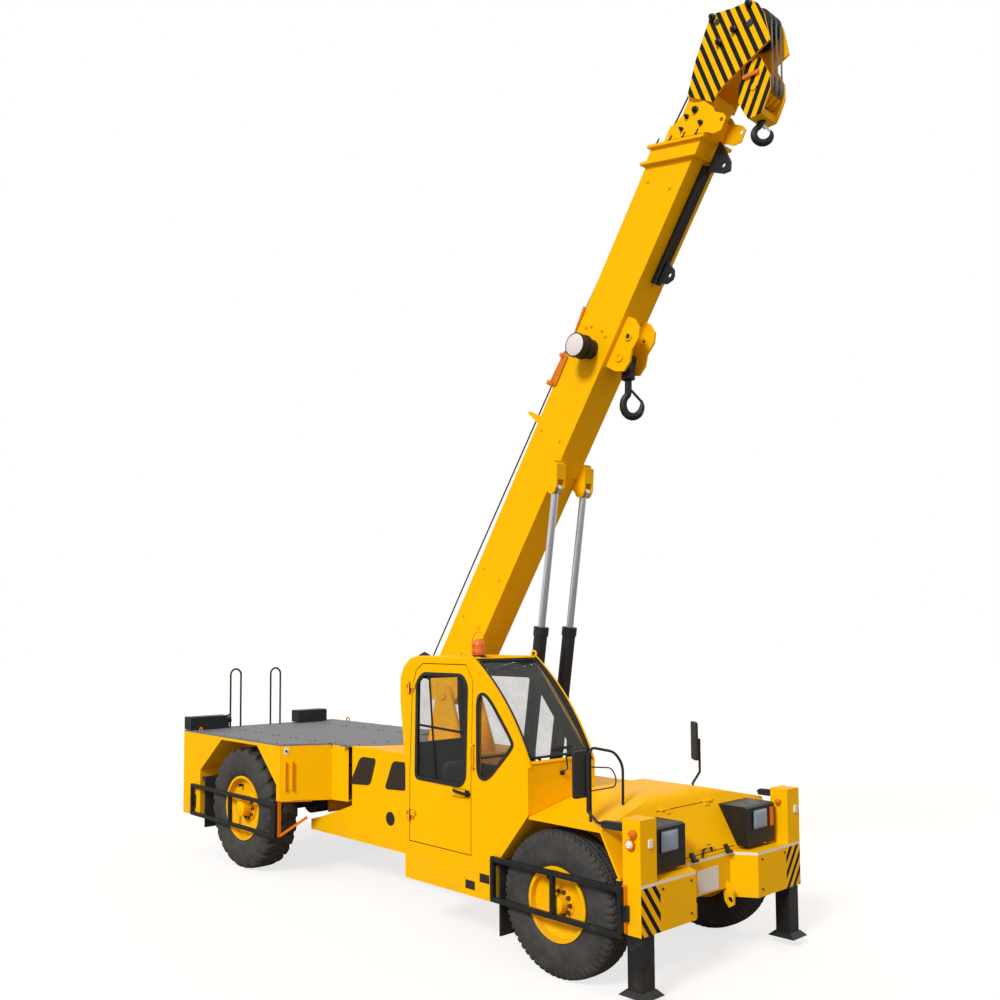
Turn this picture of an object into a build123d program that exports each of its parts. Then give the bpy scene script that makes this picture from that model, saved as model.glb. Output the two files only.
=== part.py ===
"""A pick-and-carry mobile crane in millimetres.

+X points forward, +Y to the machine's left and +Z up, with the ground at Z = 0.
The front frame carries the cab, the boom and the bumper; the rear frame carries
the engine under a flat deck and steers about an upright pin behind the cab.
"""

from build123d import *
from math import acos, atan2, cos, hypot, pi, radians, sin
import os

os.makedirs("parts", exist_ok=True)

# ---------------------------------------------------------------- driving sizes
front_x = 3478.0  # front face of the bumper
half_width = 1240.0
clearance = 8.0
skin = 20.0

# wheels: distance behind the bumper face, tyre radius, section width, rim radius
front_axle_x = front_x - 900.0
rear_axle_x = front_x - 6120.0
front_tyre_r = 624.0
front_tyre_w = 325.0
front_rim_r = 317.0
rear_tyre_r = 745.0
rear_tyre_w = 430.0
rear_rim_r = 396.0

# articulation
pivot_x = front_x - 5000.0
pivot_pin_r = 45.0
deck_z = 1613.0
nose_r = 800.0
frame_gap = 30.0
floor_z = 945.0
plate_rear_x = front_x - 4486.0

# front frame
rail_y = 300.0
rail_t = 25.0
plate_y = 700.0
plate_t = 30.0
cab_rear_x = front_x - 2866.0
cab_front_x = front_x - 1190.0
cab_inner_y = -325.0
cab_wall = 40.0
cab_top = 2700.0
cab_floor = 500.0
pedestal_y = 205.0
pedestal_t = 35.0

# boom
boom_angle = 57.7
foot_x = front_x - 3412.0
foot_z = 2235.0
foot_pin_r = 50.0
base_w = 362.0
base_low = -150.0
base_high = 337.0
base_wall = 12.0
section_wall = 10.0
base_gap = 14.0
mid_gap = 13.0
top_gap = 50.0
mid_w = base_w - 2 * (base_wall + base_gap)
mid_low = base_low + base_wall + base_gap
mid_high = base_high - base_wall - top_gap
fly_w = mid_w - 2 * (section_wall + mid_gap)
fly_low = mid_low + section_wall + mid_gap
fly_high = mid_high - section_wall - top_gap
rod_pin_s = 2700.0
rod_pin_n = -270.0
rod_pin_r = 35.0
cylinder_y = 217.0
ear_inner_y = 160.0
ear_outer_y = 274.0
cylinder_x = front_x - 2209.0
cylinder_z = 1200.0
barrel_r = 68.0
rod_r = 37.0
sheave_s = 7080.0
sheave_n = -124.0
sheave_r = 138.0
fall_rows = (-75.0, 0.0, 75.0)
rope_r = 8.0
head_y = 150.0
head_t = 20.0
hook_pin_s = 4105.0
hook_pin_n = -271.0
stow_s = 4315.0
stow_n = -268.0

# bumper and outriggers
bumper_low = 552.0
bumper_high = 953.0
post_high = 1453.0
post_w = 212.0
post_d = 173.0
post_wall = 14.0
leg_low = 80.0


# ---------------------------------------------------------------- places shared by several pieces
def upright(y):
    """Side-view plane at height y: local x is forward, local y is up, extrusions go to -Y."""
    return Plane(origin=(0, y, 0), x_dir=(1, 0, 0), z_dir=(0, -1, 0))


def boom_plane(y):
    """Side-view plane of the boom: local x runs along it from its foot pin, local y across it."""
    a = radians(boom_angle)
    return Plane(origin=(foot_x, y, foot_z), x_dir=(cos(a), 0, sin(a)), z_dir=(0, -1, 0))


def boom_point(s, n, y=0.0):
    a = radians(boom_angle)
    return (foot_x + s * cos(a) - n * sin(a), y, foot_z + s * sin(a) + n * cos(a))


def behind(distance):
    """X of a place this far behind the bumper face."""
    return front_x - distance


rod_pin = boom_point(rod_pin_s, rod_pin_n)
sheave_pin = boom_point(sheave_s, sheave_n)
hook_pin = boom_point(hook_pin_s, hook_pin_n)

# ================================================================= front frame
side_profile = [
    (behind(2880), bumper_low - 12),
    (behind(2880), deck_z - skin),
    (plate_rear_x, deck_z - skin),
    (plate_rear_x, floor_z - 15),
    (behind(4707), 850),
    (behind(5127), 712),
    (behind(5319), 660),
    (behind(5319), bumper_low - 12),
]
belly_z = bumper_low - 12

with BuildPart() as front_chassis:
    # outer side plates with their windows
    for y0 in (-plate_y + plate_t, plate_y):
        with BuildSketch(upright(y0)):
            with BuildLine():
                Polyline(*side_profile, close=True)
            make_face()
            for x0, x1, lean in ((behind(4442), behind(4050), 165), (behind(3840), behind(3520), 130)):
                with BuildLine(mode=Mode.PRIVATE) as window:
                    Polyline((x0, 1190), (x1 - lean, 1205), (x1, 1510), (x0 + lean, 1510), close=True)
                make_face(window.edges(), mode=Mode.SUBTRACT)
            with Locations((behind(3777), 875)):
                Ellipse(45, 62, mode=Mode.SUBTRACT)
        extrude(amount=plate_t)
    # deck with its rear edge an arc about the articulation pin
    with BuildSketch(Plane.XY.offset(deck_z - skin)):
        with Locations(((behind(2880) + plate_rear_x) / 2, 0)):
            Rectangle(behind(2880) - plate_rear_x, 2 * plate_y)
        with Locations((pivot_x, 0)):
            Circle(nose_r + frame_gap, mode=Mode.SUBTRACT)
    extrude(amount=skin)
    # belly plate and the upper plate of the lower fork
    for z0, x_front in ((belly_z, behind(2880)), (640, behind(4700))):
        with BuildSketch(Plane.XY.offset(z0)):
            with Locations(((x_front + behind(5319)) / 2, 0)):
                Rectangle(x_front - behind(5319), 2 * plate_y - plate_t)
            with Locations((pivot_x - 200, 0)):
                Rectangle(400, 960, mode=Mode.SUBTRACT)
            with Locations((pivot_x, 0)):
                Circle(330)
                Circle(pivot_pin_r, mode=Mode.SUBTRACT)
        extrude(amount=skin)
    # upper fork reaching back over the articulation pin
    for z0 in (1170, 1260):
        with BuildSketch(Plane.XY.offset(z0)):
            with Locations(((pivot_x + behind(4150)) / 2, 0)):
                Rectangle(behind(4150) - pivot_x, 400)
            with Locations((pivot_x, 0)):
                Circle(200)
                Circle(pivot_pin_r, mode=Mode.SUBTRACT)
        extrude(amount=30)
    # bulkheads across the frame
    for x0, z0, z1 in (
        (behind(4170), 640, deck_z - skin),
        (behind(2910), belly_z, 1560),
        (behind(3700), belly_z, deck_z - skin),
    ):
        with Locations((x0, 0, (z0 + z1) / 2)):
            Box(plate_t, 2 * plate_y - plate_t, z1 - z0)
    # main rails forward to the bumper
    for side in (-1, 1):
        with BuildSketch(upright(side * (rail_y + rail_t / 2) + rail_t / 2)):
            with BuildLine():
                Polyline(
                    (behind(260), 780),
                    (behind(260), 1000),
                    (behind(470), 1240),
                    (behind(2910), 1240),
                    (behind(2910), 780),
                    close=True,
                )
            make_face()
        extrude(amount=rail_t)
    # cross member for the lift-cylinder feet, and the front tie between the rails
    with Locations((cylinder_x, 0, 790)):
        Box(260, 2 * rail_y + rail_t, 20)
    with Locations((behind(400), 0, 1000)):
        Box(30, 2 * rail_y + rail_t, 380)
    with Locations((behind(1500), 0, 1000)):
        Box(30, 2 * rail_y + rail_t, 380)
    for side in (-1, 1):
        for dy in (-48, 48):
            with BuildSketch(upright(side * cylinder_y + dy + 12)):
                with BuildLine():
                    Polyline(
                        (cylinder_x - 120, 795),
                        (cylinder_x - 50, cylinder_z + 20),
                        (cylinder_x + 50, cylinder_z + 20),
                        (cylinder_x + 120, 795),
                        close=True,
                    )
                make_face()
                with Locations((cylinder_x, cylinder_z)):
                    Circle(58)
            extrude(amount=24)
        with Locations(Plane((cylinder_x, side * cylinder_y, cylinder_z), z_dir=(0, 1, 0))):
            Cylinder(rod_pin_r, 120)
    # boom pedestal
    for side in (-1, 1):
        with BuildSketch(upright(side * (pedestal_y + pedestal_t / 2) + pedestal_t / 2)):
            with BuildLine():
                Polyline(
                    (behind(3700), deck_z - skin),
                    (foot_x - 110, foot_z + 30),
                    (foot_x - 60, foot_z + 110),
                    (foot_x + 60, foot_z + 110),
                    (foot_x + 110, foot_z + 30),
                    (behind(2910), 1240),
                    (behind(2910), belly_z + 10),
                    (behind(3700), belly_z + 10),
                    close=True,
                )
            make_face()
        extrude(amount=pedestal_t)
    with Locations(Plane((foot_x, 0, foot_z), z_dir=(0, 1, 0))):
        Cylinder(foot_pin_r, 2 * (pedestal_y + pedestal_t) + 40)

with BuildPart() as articulation_pins:
    for z0, z1 in ((belly_z - 25, 690), (1140, 1320)):
        with Locations((pivot_x, 0, (z0 + z1) / 2)):
            Cylinder(pivot_pin_r - 1, z1 - z0)
        with Locations((pivot_x, 0, z1 - 7)):
            Cylinder(pivot_pin_r + 25, 14)

# ---- bumper: outer boxes with outrigger posts, recessed centre with tow lugs
outline = [
    (front_x, half_width),
    (front_x, 490),
    (behind(200), 352),
    (behind(200), -352),
    (front_x, -490),
    (front_x, -half_width),
    (behind(post_d), -half_width),
    (behind(post_d), -560),
    (behind(260), -500),
    (behind(260), 500),
    (behind(post_d), 560),
    (behind(post_d), half_width),
]
with BuildPart() as bumper:
    with BuildSketch(Plane.XY.offset(bumper_low)):
        with BuildLine():
            Polyline(*outline, close=True)
        make_face()
    extrude(amount=bumper_high - bumper_low)
    with BuildSketch(Plane.XY.offset(bumper_low + post_wall)):
        with BuildLine():
            Polyline(*outline, close=True)
        make_face()
        offset(amount=-post_wall, kind=Kind.INTERSECTION, mode=Mode.REPLACE)
    extrude(amount=bumper_high - bumper_low - 2 * post_wall, mode=Mode.SUBTRACT)
    with Locations((behind(150), 0, bumper_low)):
        Box(320, 704, 2 * 88, mode=Mode.SUBTRACT)
    with Locations((behind(230), 0, bumper_low + 88 + post_wall / 2)):
        Box(60, 704, post_wall)
    for side in (-1, 1):
        with Locations((behind(post_d / 2), side * (half_width - post_w / 2), 0)):
            with Locations((0, 0, (bumper_low + post_high) / 2)):
                Box(post_d, post_w, post_high - bumper_low)
                Box(150, 180, post_high - bumper_low, mode=Mode.SUBTRACT)
            with Locations((0, 0, post_high - post_wall / 2)):
                Box(post_d, post_w, post_wall)
            # wear pads that guide the leg
            for z0 in (610, 900):
                for way in (-1, 1):
                    with Locations((way * 73.25, 0, z0)):
                        Box(7.5, 90, 70)
                    with Locations((0, way * 87.75, z0)):
                        Box(70, 8.5, 70)
        with BuildSketch(upright(side * 297 + 15)):
            with BuildLine():
                Polyline(
                    (behind(201), 700), (behind(130), 620), (behind(130), 500),
                    (behind(175), 470), (behind(215), 520), (behind(240), 640), close=True,
                )
            make_face()
            with Locations((behind(165), 540)):
                Circle(28, mode=Mode.SUBTRACT)
        extrude(amount=30)

# ---- outrigger legs: a box leg that slides in each post, with its float
for name, side in (("outrigger_leg_right", -1), ("outrigger_leg_left", 1)):
    with BuildPart() as leg:
        y0 = side * (half_width - post_w / 2)
        with Locations((behind(post_d / 2), y0, (leg_low + 20 + 1000) / 2)):
            Box(138, 166, 1000 - leg_low - 20)
        with BuildSketch(Plane.XY.offset(leg_low)):
            with Locations((behind(post_d / 2), y0)):
                Rectangle(260, 260)
        with BuildSketch(Plane.XY.offset(leg_low + 45)):
            with Locations((behind(post_d / 2), y0)):
                Rectangle(160, 180)
        loft()
    leg.part.label = name
    export_step(leg.part, "parts/" + name + ".step")

# ---- front cowl: ridge over the rails, falling to both fenders, sloping down to the bumper
cowl_low = bumper_high
cowl_ridge = 1490.0
cowl_edge = 1322.0
cowl_back = behind(1184)
bend_r = 139.0
bend_mid = (behind(560), cowl_ridge - bend_r)
slope_foot = (behind(200), bumper_high + 22)
bend_end = atan2(slope_foot[1] - bend_mid[1], slope_foot[0] - bend_mid[0]) + acos(
    bend_r / hypot(slope_foot[0] - bend_mid[0], slope_foot[1] - bend_mid[1])
)
slope_top = (bend_mid[0] + bend_r * cos(bend_end), bend_mid[1] + bend_r * sin(bend_end))
slope_dx = slope_foot[0] - slope_top[0]
slope_dz = slope_foot[1] - slope_top[1]
slope_len = hypot(slope_dx, slope_dz)


def slope_x(z):
    """X of the cowl's sloping face at height z."""
    return slope_top[0] + (z - slope_top[1]) * slope_dx / slope_dz


def cowl_solid(drop, grow):
    """The cowl's outer form lowered square to each face by drop, grown backwards by grow."""
    inset = drop * slope_len / -slope_dz
    bend = bend_r - drop
    halfway = (bend_end + pi / 2) / 2
    with BuildPart() as form:
        with BuildSketch(upright(half_width + grow)):
            with BuildLine():
                l1 = Line((cowl_back - grow, cowl_ridge - drop), (bend_mid[0], cowl_ridge - drop))
                l2 = ThreePointArc(
                    l1 @ 1,
                    (bend_mid[0] + bend * cos(halfway), bend_mid[1] + bend * sin(halfway)),
                    (bend_mid[0] + bend * cos(bend_end), bend_mid[1] + bend * sin(bend_end)),
                )
                Polyline(
                    l2 @ 1,
                    (slope_foot[0] - inset, slope_foot[1]),
                    (slope_foot[0] - inset, cowl_low - grow),
                    (cowl_back - grow, cowl_low - grow),
                    (cowl_back - grow, cowl_ridge - drop),
                )
            make_face()
        extrude(amount=2 * (half_width + grow))
        with BuildSketch(Plane.YZ.offset(cowl_back - grow - 10)):
            for side in (-1, 1):
                with BuildLine(mode=Mode.PRIVATE) as wedge:
                    Polyline(
                        (side * 400, cowl_ridge - drop),
                        (side * (half_width + 200), cowl_edge - drop - 40),
                        (side * (half_width + 200), cowl_ridge + 60),
                        (side * 400, cowl_ridge + 60),
                        close=True,
                    )
                make_face(wedge.edges())
        extrude(amount=1400, mode=Mode.SUBTRACT)
    return form.part


cowl_skin = cowl_solid(0, 0) - cowl_solid(skin, 5)
lid_half = 455.0
lid_margin = 45.0
lid_foot_margin = 14.0
lid_len = slope_len - lid_margin - lid_foot_margin
lid_shift = (lid_margin - lid_foot_margin) / 2
lid_mid = ((slope_top[0] + slope_foot[0]) / 2, 0, (slope_top[1] + slope_foot[1]) / 2)
lid_plane = Plane(origin=lid_mid, x_dir=(slope_dx, 0, slope_dz), z_dir=(-slope_dz, 0, slope_dx))



def lid_local(s, n):
    """A side-view point s down the lid from its middle and n out of it, in the lid's own axes."""
    along = (slope_dx / slope_len, slope_dz / slope_len)
    return (
        lid_mid[0] * along[0] + lid_mid[2] * along[1] + s,
        -lid_mid[0] * along[1] + lid_mid[2] * along[0] + n,
    )


lid_hinge_s = -(slope_len - 98) / 2
lid_hinge_n = 10.0
lid_hinge_y = 300.0

with BuildPart() as front_cowl:
    add(cowl_skin)
    for side in (-1, 1):
        # inner wall of the wheel arch
        with BuildSketch(upright(side * 885 + 8)):
            with BuildLine():
                Polyline(
                    (cowl_back, 1380), (slope_x(1380) - 6, 1380), (slope_x(965) - 6, 965),
                    (slope_x(965) - 6, 953), (slope_x(965) - 60, 953),
                    (behind(560), 1290), (cowl_back, 1290), close=True,
                )
            make_face()
        extrude(amount=16)
    # lower cross strip that ties the cowl to the bumper, and the rear web on the rails
    with Locations((behind(222), 0, bumper_high + 5)):
        Box(36, 2 * half_width - 4, 10)
    with Locations((cowl_back + 10, 0, (1240 + 1475) / 2)):
        Box(20, 2 * (rail_y + rail_t), 1475 - 1240)
    # opening under the lid
    with BuildSketch(lid_plane.offset(30)):
        with Locations((lid_shift, 0)):
            Rectangle(lid_len, 2 * lid_half)
    extrude(amount=-80, mode=Mode.SUBTRACT)
    # outer knuckles of the lid's two hinges
    for side in (-1, 1):
        with BuildSketch(Plane(origin=(0, side * (lid_hinge_y + 60.5), 0), x_dir=lid_plane.x_dir,
                               z_dir=(0, -1, 0))):
            with Locations(lid_local(lid_hinge_s, lid_hinge_n)):
                Circle(9)
            with BuildLine():
                Polyline(
                    lid_local(lid_hinge_s - 34, -2), lid_local(lid_hinge_s - 8, -2),
                    lid_local(lid_hinge_s, 6), lid_local(lid_hinge_s, 12),
                    lid_local(lid_hinge_s - 34, 12), close=True,
                )
            make_face()
        extrude(amount=30, both=True)
    # left fender's rear plate
    with BuildSketch(upright(half_width)):
        with BuildLine():
            Polyline(
                (cowl_back, 1322), (behind(1216), 1322), (behind(1560), 890), (behind(1545), 878),
                (behind(1208), 1302), (cowl_back, 1302), close=True,
            )
        make_face()
    extrude(amount=half_width - 880)

with BuildPart() as hood_lid:
    with BuildSketch(lid_plane):
        with Locations((lid_shift, 0)):
            Rectangle(lid_len - 2 * clearance, 2 * (lid_half - clearance))
    extrude(amount=-skin)
    # inner knuckles of its two hinges
    for side in (-1, 1):
        with BuildSketch(Plane(origin=(0, side * lid_hinge_y, 0), x_dir=lid_plane.x_dir,
                               z_dir=(0, -1, 0))):
            with Locations(lid_local(lid_hinge_s, lid_hinge_n)):
                Circle(9)
            with BuildLine():
                Polyline(
                    lid_local(lid_hinge_s, 4), lid_local(lid_hinge_s + 5, -2),
                    lid_local(lid_hinge_s + 34, -2), lid_local(lid_hinge_s + 34, 12),
                    lid_local(lid_hinge_s, 12), close=True,
                )
            make_face()
        extrude(amount=30, both=True)
    # grab handle at the foot of the lid
    with BuildSketch(lid_plane.offset(28)):
        with Locations((slope_len / 2 - 62, -5)):
            Rectangle(14, 190)
    extrude(amount=14)
    for dy in (-93, 83):
        with BuildSketch(lid_plane):
            with Locations((slope_len / 2 - 62, dy)):
                Rectangle(14, 14)
        extrude(amount=40)

# ---- headlamp boxes standing on the cowl slope
lamp_y = 725.0
lamp_w = 480.0
with BuildPart() as headlamp_boxes:
    for side in (-1, 1):
        with BuildSketch(upright(side * lamp_y + lamp_w / 2)):
            with BuildLine():
                Polyline(
                    (behind(100), 985), (behind(100), 1325), (behind(130), 1338),
                    (slope_x(1338), 1338), (slope_x(985), 985), close=True,
                )
            make_face()
        extrude(amount=lamp_w)
        with Locations(Plane((behind(100), side * 710, 1215), z_dir=(1, 0, 0))):
            with BuildSketch():
                Rectangle(220, 185)
            extrude(amount=-20, mode=Mode.SUBTRACT)
            with Locations((0, 0, -19)):
                Box(190, 160, 14)

# ---- cab
cab_side = [
    (cab_rear_x, cab_floor),
    (cab_rear_x, 1556),
    (behind(2945), 2250),
    (behind(2945), 2472),
    (behind(2895), 2585),
    (behind(2800), 2668),
    (behind(2690), cab_top),
    (behind(1928), cab_top),
    (cab_front_x, 1745),
    (cab_front_x, 1330),
    (behind(1550), 890),
    (behind(1664), 850),
    (behind(1664), cab_floor),
]
cab_mid_y = (cab_inner_y - half_width) / 2
cab_width = half_width + cab_inner_y
door_rear = behind(2800)
door_front = behind(1910)
door_low = 866.0
door_high = 2630.0
hinge_x = behind(2789)
hinge_y = -half_width - 12.5
hinge_heights = (1121.0, 2378.0)
knuckle_r = 11.0
knuckle_len = 50.0
door_outline = [
    (door_rear - 5, door_low), (door_rear, 1556), (behind(2760), 2400),
    (behind(2700), 2560), (behind(2600), door_high), (behind(1970), door_high),
    (behind(1880), 2480), (door_front, 1500), (door_front, door_low),
]
window_outline = [
    (behind(2700), 1500), (behind(2680), 2440), (behind(2590), 2525),
    (behind(2030), 2525), (behind(1965), 2440), (behind(1995), 1560), (behind(2060), 1490),
]
quarter_outline = [
    (behind(1820), 1600), (behind(1820), 2330), (behind(1740), 2375),
    (behind(1640), 2300), (behind(1370), 1950), (behind(1380), 1900), (behind(1700), 1580),
]

with BuildPart() as cab_shell:
    with BuildSketch(upright(cab_inner_y)):
        with BuildLine():
            Polyline(*cab_side, close=True)
        make_face()
    extrude(amount=cab_width)
    fillet(cab_shell.edges().filter_by(GeomType.LINE).group_by(Axis.Z)[-1], radius=18)
    with BuildSketch(upright(cab_inner_y - cab_wall)):
        with BuildLine():
            Polyline(*cab_side, close=True)
        make_face()
        offset(amount=-cab_wall, kind=Kind.INTERSECTION, mode=Mode.REPLACE)
    extrude(amount=cab_width - 2 * cab_wall, mode=Mode.SUBTRACT)
    # door opening and quarter light in the outer side
    with BuildSketch(upright(-half_width + cab_wall + 5)):
        with BuildLine():
            Polyline(*door_outline, close=True)
        make_face()
    extrude(amount=cab_wall + 10, mode=Mode.SUBTRACT)
    with BuildSketch(upright(-half_width + cab_wall + 5)):
        with BuildLine():
            Polyline(*quarter_outline, close=True)
        make_face()
    extrude(amount=cab_wall + 10, mode=Mode.SUBTRACT)
    # window on the boom side
    with BuildSketch(upright(cab_inner_y + 5)):
        with BuildLine():
            Polyline(
                (behind(2720), 1560), (behind(2700), 2480), (behind(2000), 2480),
                (behind(1900), 2420), (behind(1500), 1900), (behind(1500), 1560), close=True,
            )
        make_face()
    extrude(amount=cab_wall + 10, mode=Mode.SUBTRACT)
    # rear window
    with Locations((cab_rear_x - 60, cab_mid_y, 2140)):
        Box(200, cab_width - 260, 640, mode=Mode.SUBTRACT)
    # windscreen in the sloping front
    screen_dx = cab_front_x - behind(1928)
    screen_dz = 1745 - cab_top
    screen_len = hypot(screen_dx, screen_dz)
    screen_mid = ((cab_front_x + behind(1928)) / 2, cab_mid_y, (1745 + cab_top) / 2)
    screen_plane = Plane(
        origin=screen_mid, x_dir=(screen_dx, 0, screen_dz), z_dir=(-screen_dz, 0, screen_dx)
    )
    with BuildSketch(screen_plane.offset(20)):
        RectangleRounded(screen_len - 110, cab_width - 110, 60)
    extrude(amount=-100, mode=Mode.SUBTRACT)
    # lower knuckle of each door hinge on a leaf from the pillar
    for z0 in hinge_heights:
        with Locations((hinge_x, hinge_y, z0 - knuckle_len / 2 - 0.5)):
            Cylinder(knuckle_r, knuckle_len)
        with Locations((hinge_x - 28, -half_width - 4.5, z0 - knuckle_len / 2 - 0.5)):
            Box(50, 8, knuckle_len)
        with Locations((hinge_x - 39, -half_width - 2, z0 - knuckle_len / 2 - 0.5)):
            Box(28, 12, knuckle_len)
    # step holes below the door's front corner
    for x0, z0 in ((behind(1930), 600), (behind(1740), 690)):
        with Locations((x0, -half_width, z0)):
            Box(130, 2 * cab_wall + 10, 80, mode=Mode.SUBTRACT)

with BuildPart() as cab_door:
    with BuildSketch(upright(-half_width + cab_wall)):
        with BuildLine():
            Polyline(*door_outline, close=True)
        make_face()
        offset(amount=-clearance, kind=Kind.INTERSECTION, mode=Mode.REPLACE)
        with BuildLine(mode=Mode.PRIVATE) as light:
            Polyline(*window_outline, close=True)
        make_face(light.edges(), mode=Mode.SUBTRACT)
    extrude(amount=cab_wall)
    # handle, and the upper knuckle of each hinge on its leaf
    for z0 in hinge_heights:
        with Locations((hinge_x, hinge_y, z0 + knuckle_len / 2)):
            Cylinder(knuckle_r, knuckle_len)
        with Locations((hinge_x + 40, -half_width - 4.5, z0 + knuckle_len / 2)):
            Box(76, 9, knuckle_len)
    with Locations((behind(2070), -half_width - 12, 1430)):
        Box(190, 24, 70)

with BuildPart() as door_glass:
    with BuildSketch(upright(-half_width + 26)):
        with BuildLine():
            Polyline(*window_outline, close=True)
        make_face()
    extrude(amount=8)

with BuildPart() as cab_glass:
    with BuildSketch(upright(-half_width + 26)):
        with BuildLine():
            Polyline(*quarter_outline, close=True)
        make_face()
    extrude(amount=8)
    with BuildSketch(screen_plane.offset(-12)):
        RectangleRounded(screen_len - 110, cab_width - 110, 60)
    extrude(amount=-8)

with BuildPart() as seat:
    with Locations((behind(2450), cab_mid_y, 1010)):
        Box(420, 440, 120)
    with BuildSketch(upright(cab_mid_y + 210)):
        with BuildLine():
            Polyline(
                (behind(2640), 1040), (behind(2540), 1070), (behind(2600), 1650),
                (behind(2700), 1650), close=True,
            )
        make_face()
    extrude(amount=420)
    with Locations((behind(2450), cab_mid_y, (cab_floor + cab_wall + 950) / 2)):
        Box(300, 320, 950 - cab_floor - cab_wall)

with BuildPart() as steering_console:
    with Locations((behind(1530), cab_mid_y, 1320)):
        Box(160, 300, 380)
    with Locations((behind(1395), cab_mid_y, 1430)):
        Box(330, 560, 150)
    with Locations(Plane((behind(1600), cab_mid_y, 1560), z_dir=(-0.6, 0, 0.8))):
        Cylinder(24, 240)
        with Locations((0, 0, 120)):
            Torus(170, 14)
            Box(330, 26, 14)

# ---- front axle
with BuildPart() as front_axle:
    with Locations(Plane((front_axle_x, 0, front_tyre_r), z_dir=(0, 1, 0))):
        Cylinder(95, 2 * (half_width - front_tyre_w - 0.5))
        Cylinder(185, 300)
    for side in (-1, 1):
        with Locations((front_axle_x, side * 345, 745)):
            Box(170, 110, 70)

# ---- wheel guards, rails, flaps, mirrors, grab rail
rod_small = 20.0
with BuildPart() as front_guards:
    for side in (-1, 1):
        y0 = side * (half_width + 40)
        for z0 in (545, 900):
            with Locations(Plane((behind(880), y0, z0), z_dir=(1, 0, 0))):
                Cylinder(rod_small, 1420)
        for x0 in (behind(1590), behind(880), behind(170)):
            with Locations((x0, y0, 722)):
                Cylinder(rod_small, 355 + 2 * rod_small)
        with Locations((behind(140), side * (half_width + 20), 722)):
            Box(60, 40, 120)
        # arm that carries the mudflap
        with Locations((behind(1582), side * (half_width - 130), 855)):
            Box(20, 380, 26)

with BuildPart() as mudflaps_front:
    for side in (-1, 1):
        with Locations((behind(1566), side * (half_width - 170), 541)):
            Box(12, 300, 662)

# ---- mirrors: the right one on a strut behind its post, the left one on the cowl
mirror_w = 190.0
mirror_h = 385.0
with BuildPart() as mirrors:
    for side in (-1, 1):
        with BuildSketch(upright(side * (half_width - 35) + 30)):
            with BuildLine():
                Polyline(
                    (behind(post_d), 1345), (behind(post_d), 1410), (behind(385), 1400),
                    (behind(400), 1382), (behind(385), 1345), close=True,
                )
            make_face()
        extrude(amount=60)
    # each stalk: its path from foot to head, its mirror's middle and the way the mirror's width runs
    for path, middle, width_way in (
        (
            ((behind(372), -1205, 1370), (behind(450), -1205, 1375), (behind(550), -1205, 1450),
             (behind(550), -1205, 1905)),
            (behind(572), -1265, 1757), (0, 1, 0),
        ),
        (
            ((behind(1076), 1100, 1352.8), (behind(1076), 1100, 1385), (behind(990), 1100, 1510),
             (behind(990), 1100, 1835), (behind(1021), 1066, 1835)),
            (behind(1023), 1064, 1824), (0.747, -0.665, 0),
        ),
    ):
        with BuildLine() as stalk:
            Polyline(*path)
        with BuildSketch(Plane(origin=path[0], z_dir=(path[1][0] - path[0][0], 0, path[1][2] - path[0][2]))):
            Circle(12)
        sweep(path=stalk.wires()[0], transition=Transition.ROUND)
        across = Vector(*width_way).cross(Vector(0, 0, 1))
        with BuildSketch(Plane(origin=middle, x_dir=width_way, z_dir=across)):
            RectangleRounded(mirror_w, mirror_h, 28)
        extrude(amount=13, both=True)

with BuildPart() as side_tank:
    with BuildSketch(upright(half_width)):
        with BuildLine():
            Polyline(
                (behind(1690), 560), (behind(1690), 1080), (behind(1860), 1300),
                (behind(2860), 1300), (behind(2860), 560), close=True,
            )
        make_face()
    extrude(amount=half_width - rail_y - rail_t)
    fillet(side_tank.edges().filter_by(Axis.Y), radius=40)

with BuildPart() as beacon:
    with Locations((behind(1960), -half_width + 150, cab_top + 8)):
        Cylinder(75, 16)
    with Locations((behind(1960), -half_width + 150, cab_top + 95)):
        Cylinder(58, 160)

# ================================================================= rear frame
rear_x = behind(7608)
inner_wall_y = half_width - rear_tyre_w - 20
rear_rail_y = 310.0
column_x = behind(5465)
nose_plan = [
    (behind(5190), half_width), (behind(4900), 695), (behind(4640), 640),
    (behind(4640), -640), (behind(4900), -695), (behind(5190), -half_width),
]

with BuildPart() as rear_chassis:
    for side in (-1, 1):
        with Locations(((column_x + rear_x + skin) / 2, side * (rear_rail_y + 15), 1010)):
            Box(column_x - rear_x - skin, 30, 220)
    with Locations((column_x, 0, (680 + 1250) / 2)):
        Box(30, 2 * rear_rail_y + 60, 570)
    for z0, z1 in ((580, 620), (1210, 1250)):
        with BuildSketch(Plane.XY.offset(z0)):
            with Locations(((pivot_x + column_x) / 2, 0)):
                Rectangle(pivot_x - column_x, 240)
            with Locations((pivot_x, 0)):
                Circle(120)
                Circle(pivot_pin_r, mode=Mode.SUBTRACT)
        extrude(amount=z1 - z0)
    with Locations((column_x + 10, 0, (580 + 800) / 2)):
        Box(50, 240, 220)
    for x0 in (behind(5800), behind(6390), behind(7500)):
        with Locations((x0, 0, 1010)):
            Box(20, 2 * rear_rail_y, 100)

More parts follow.
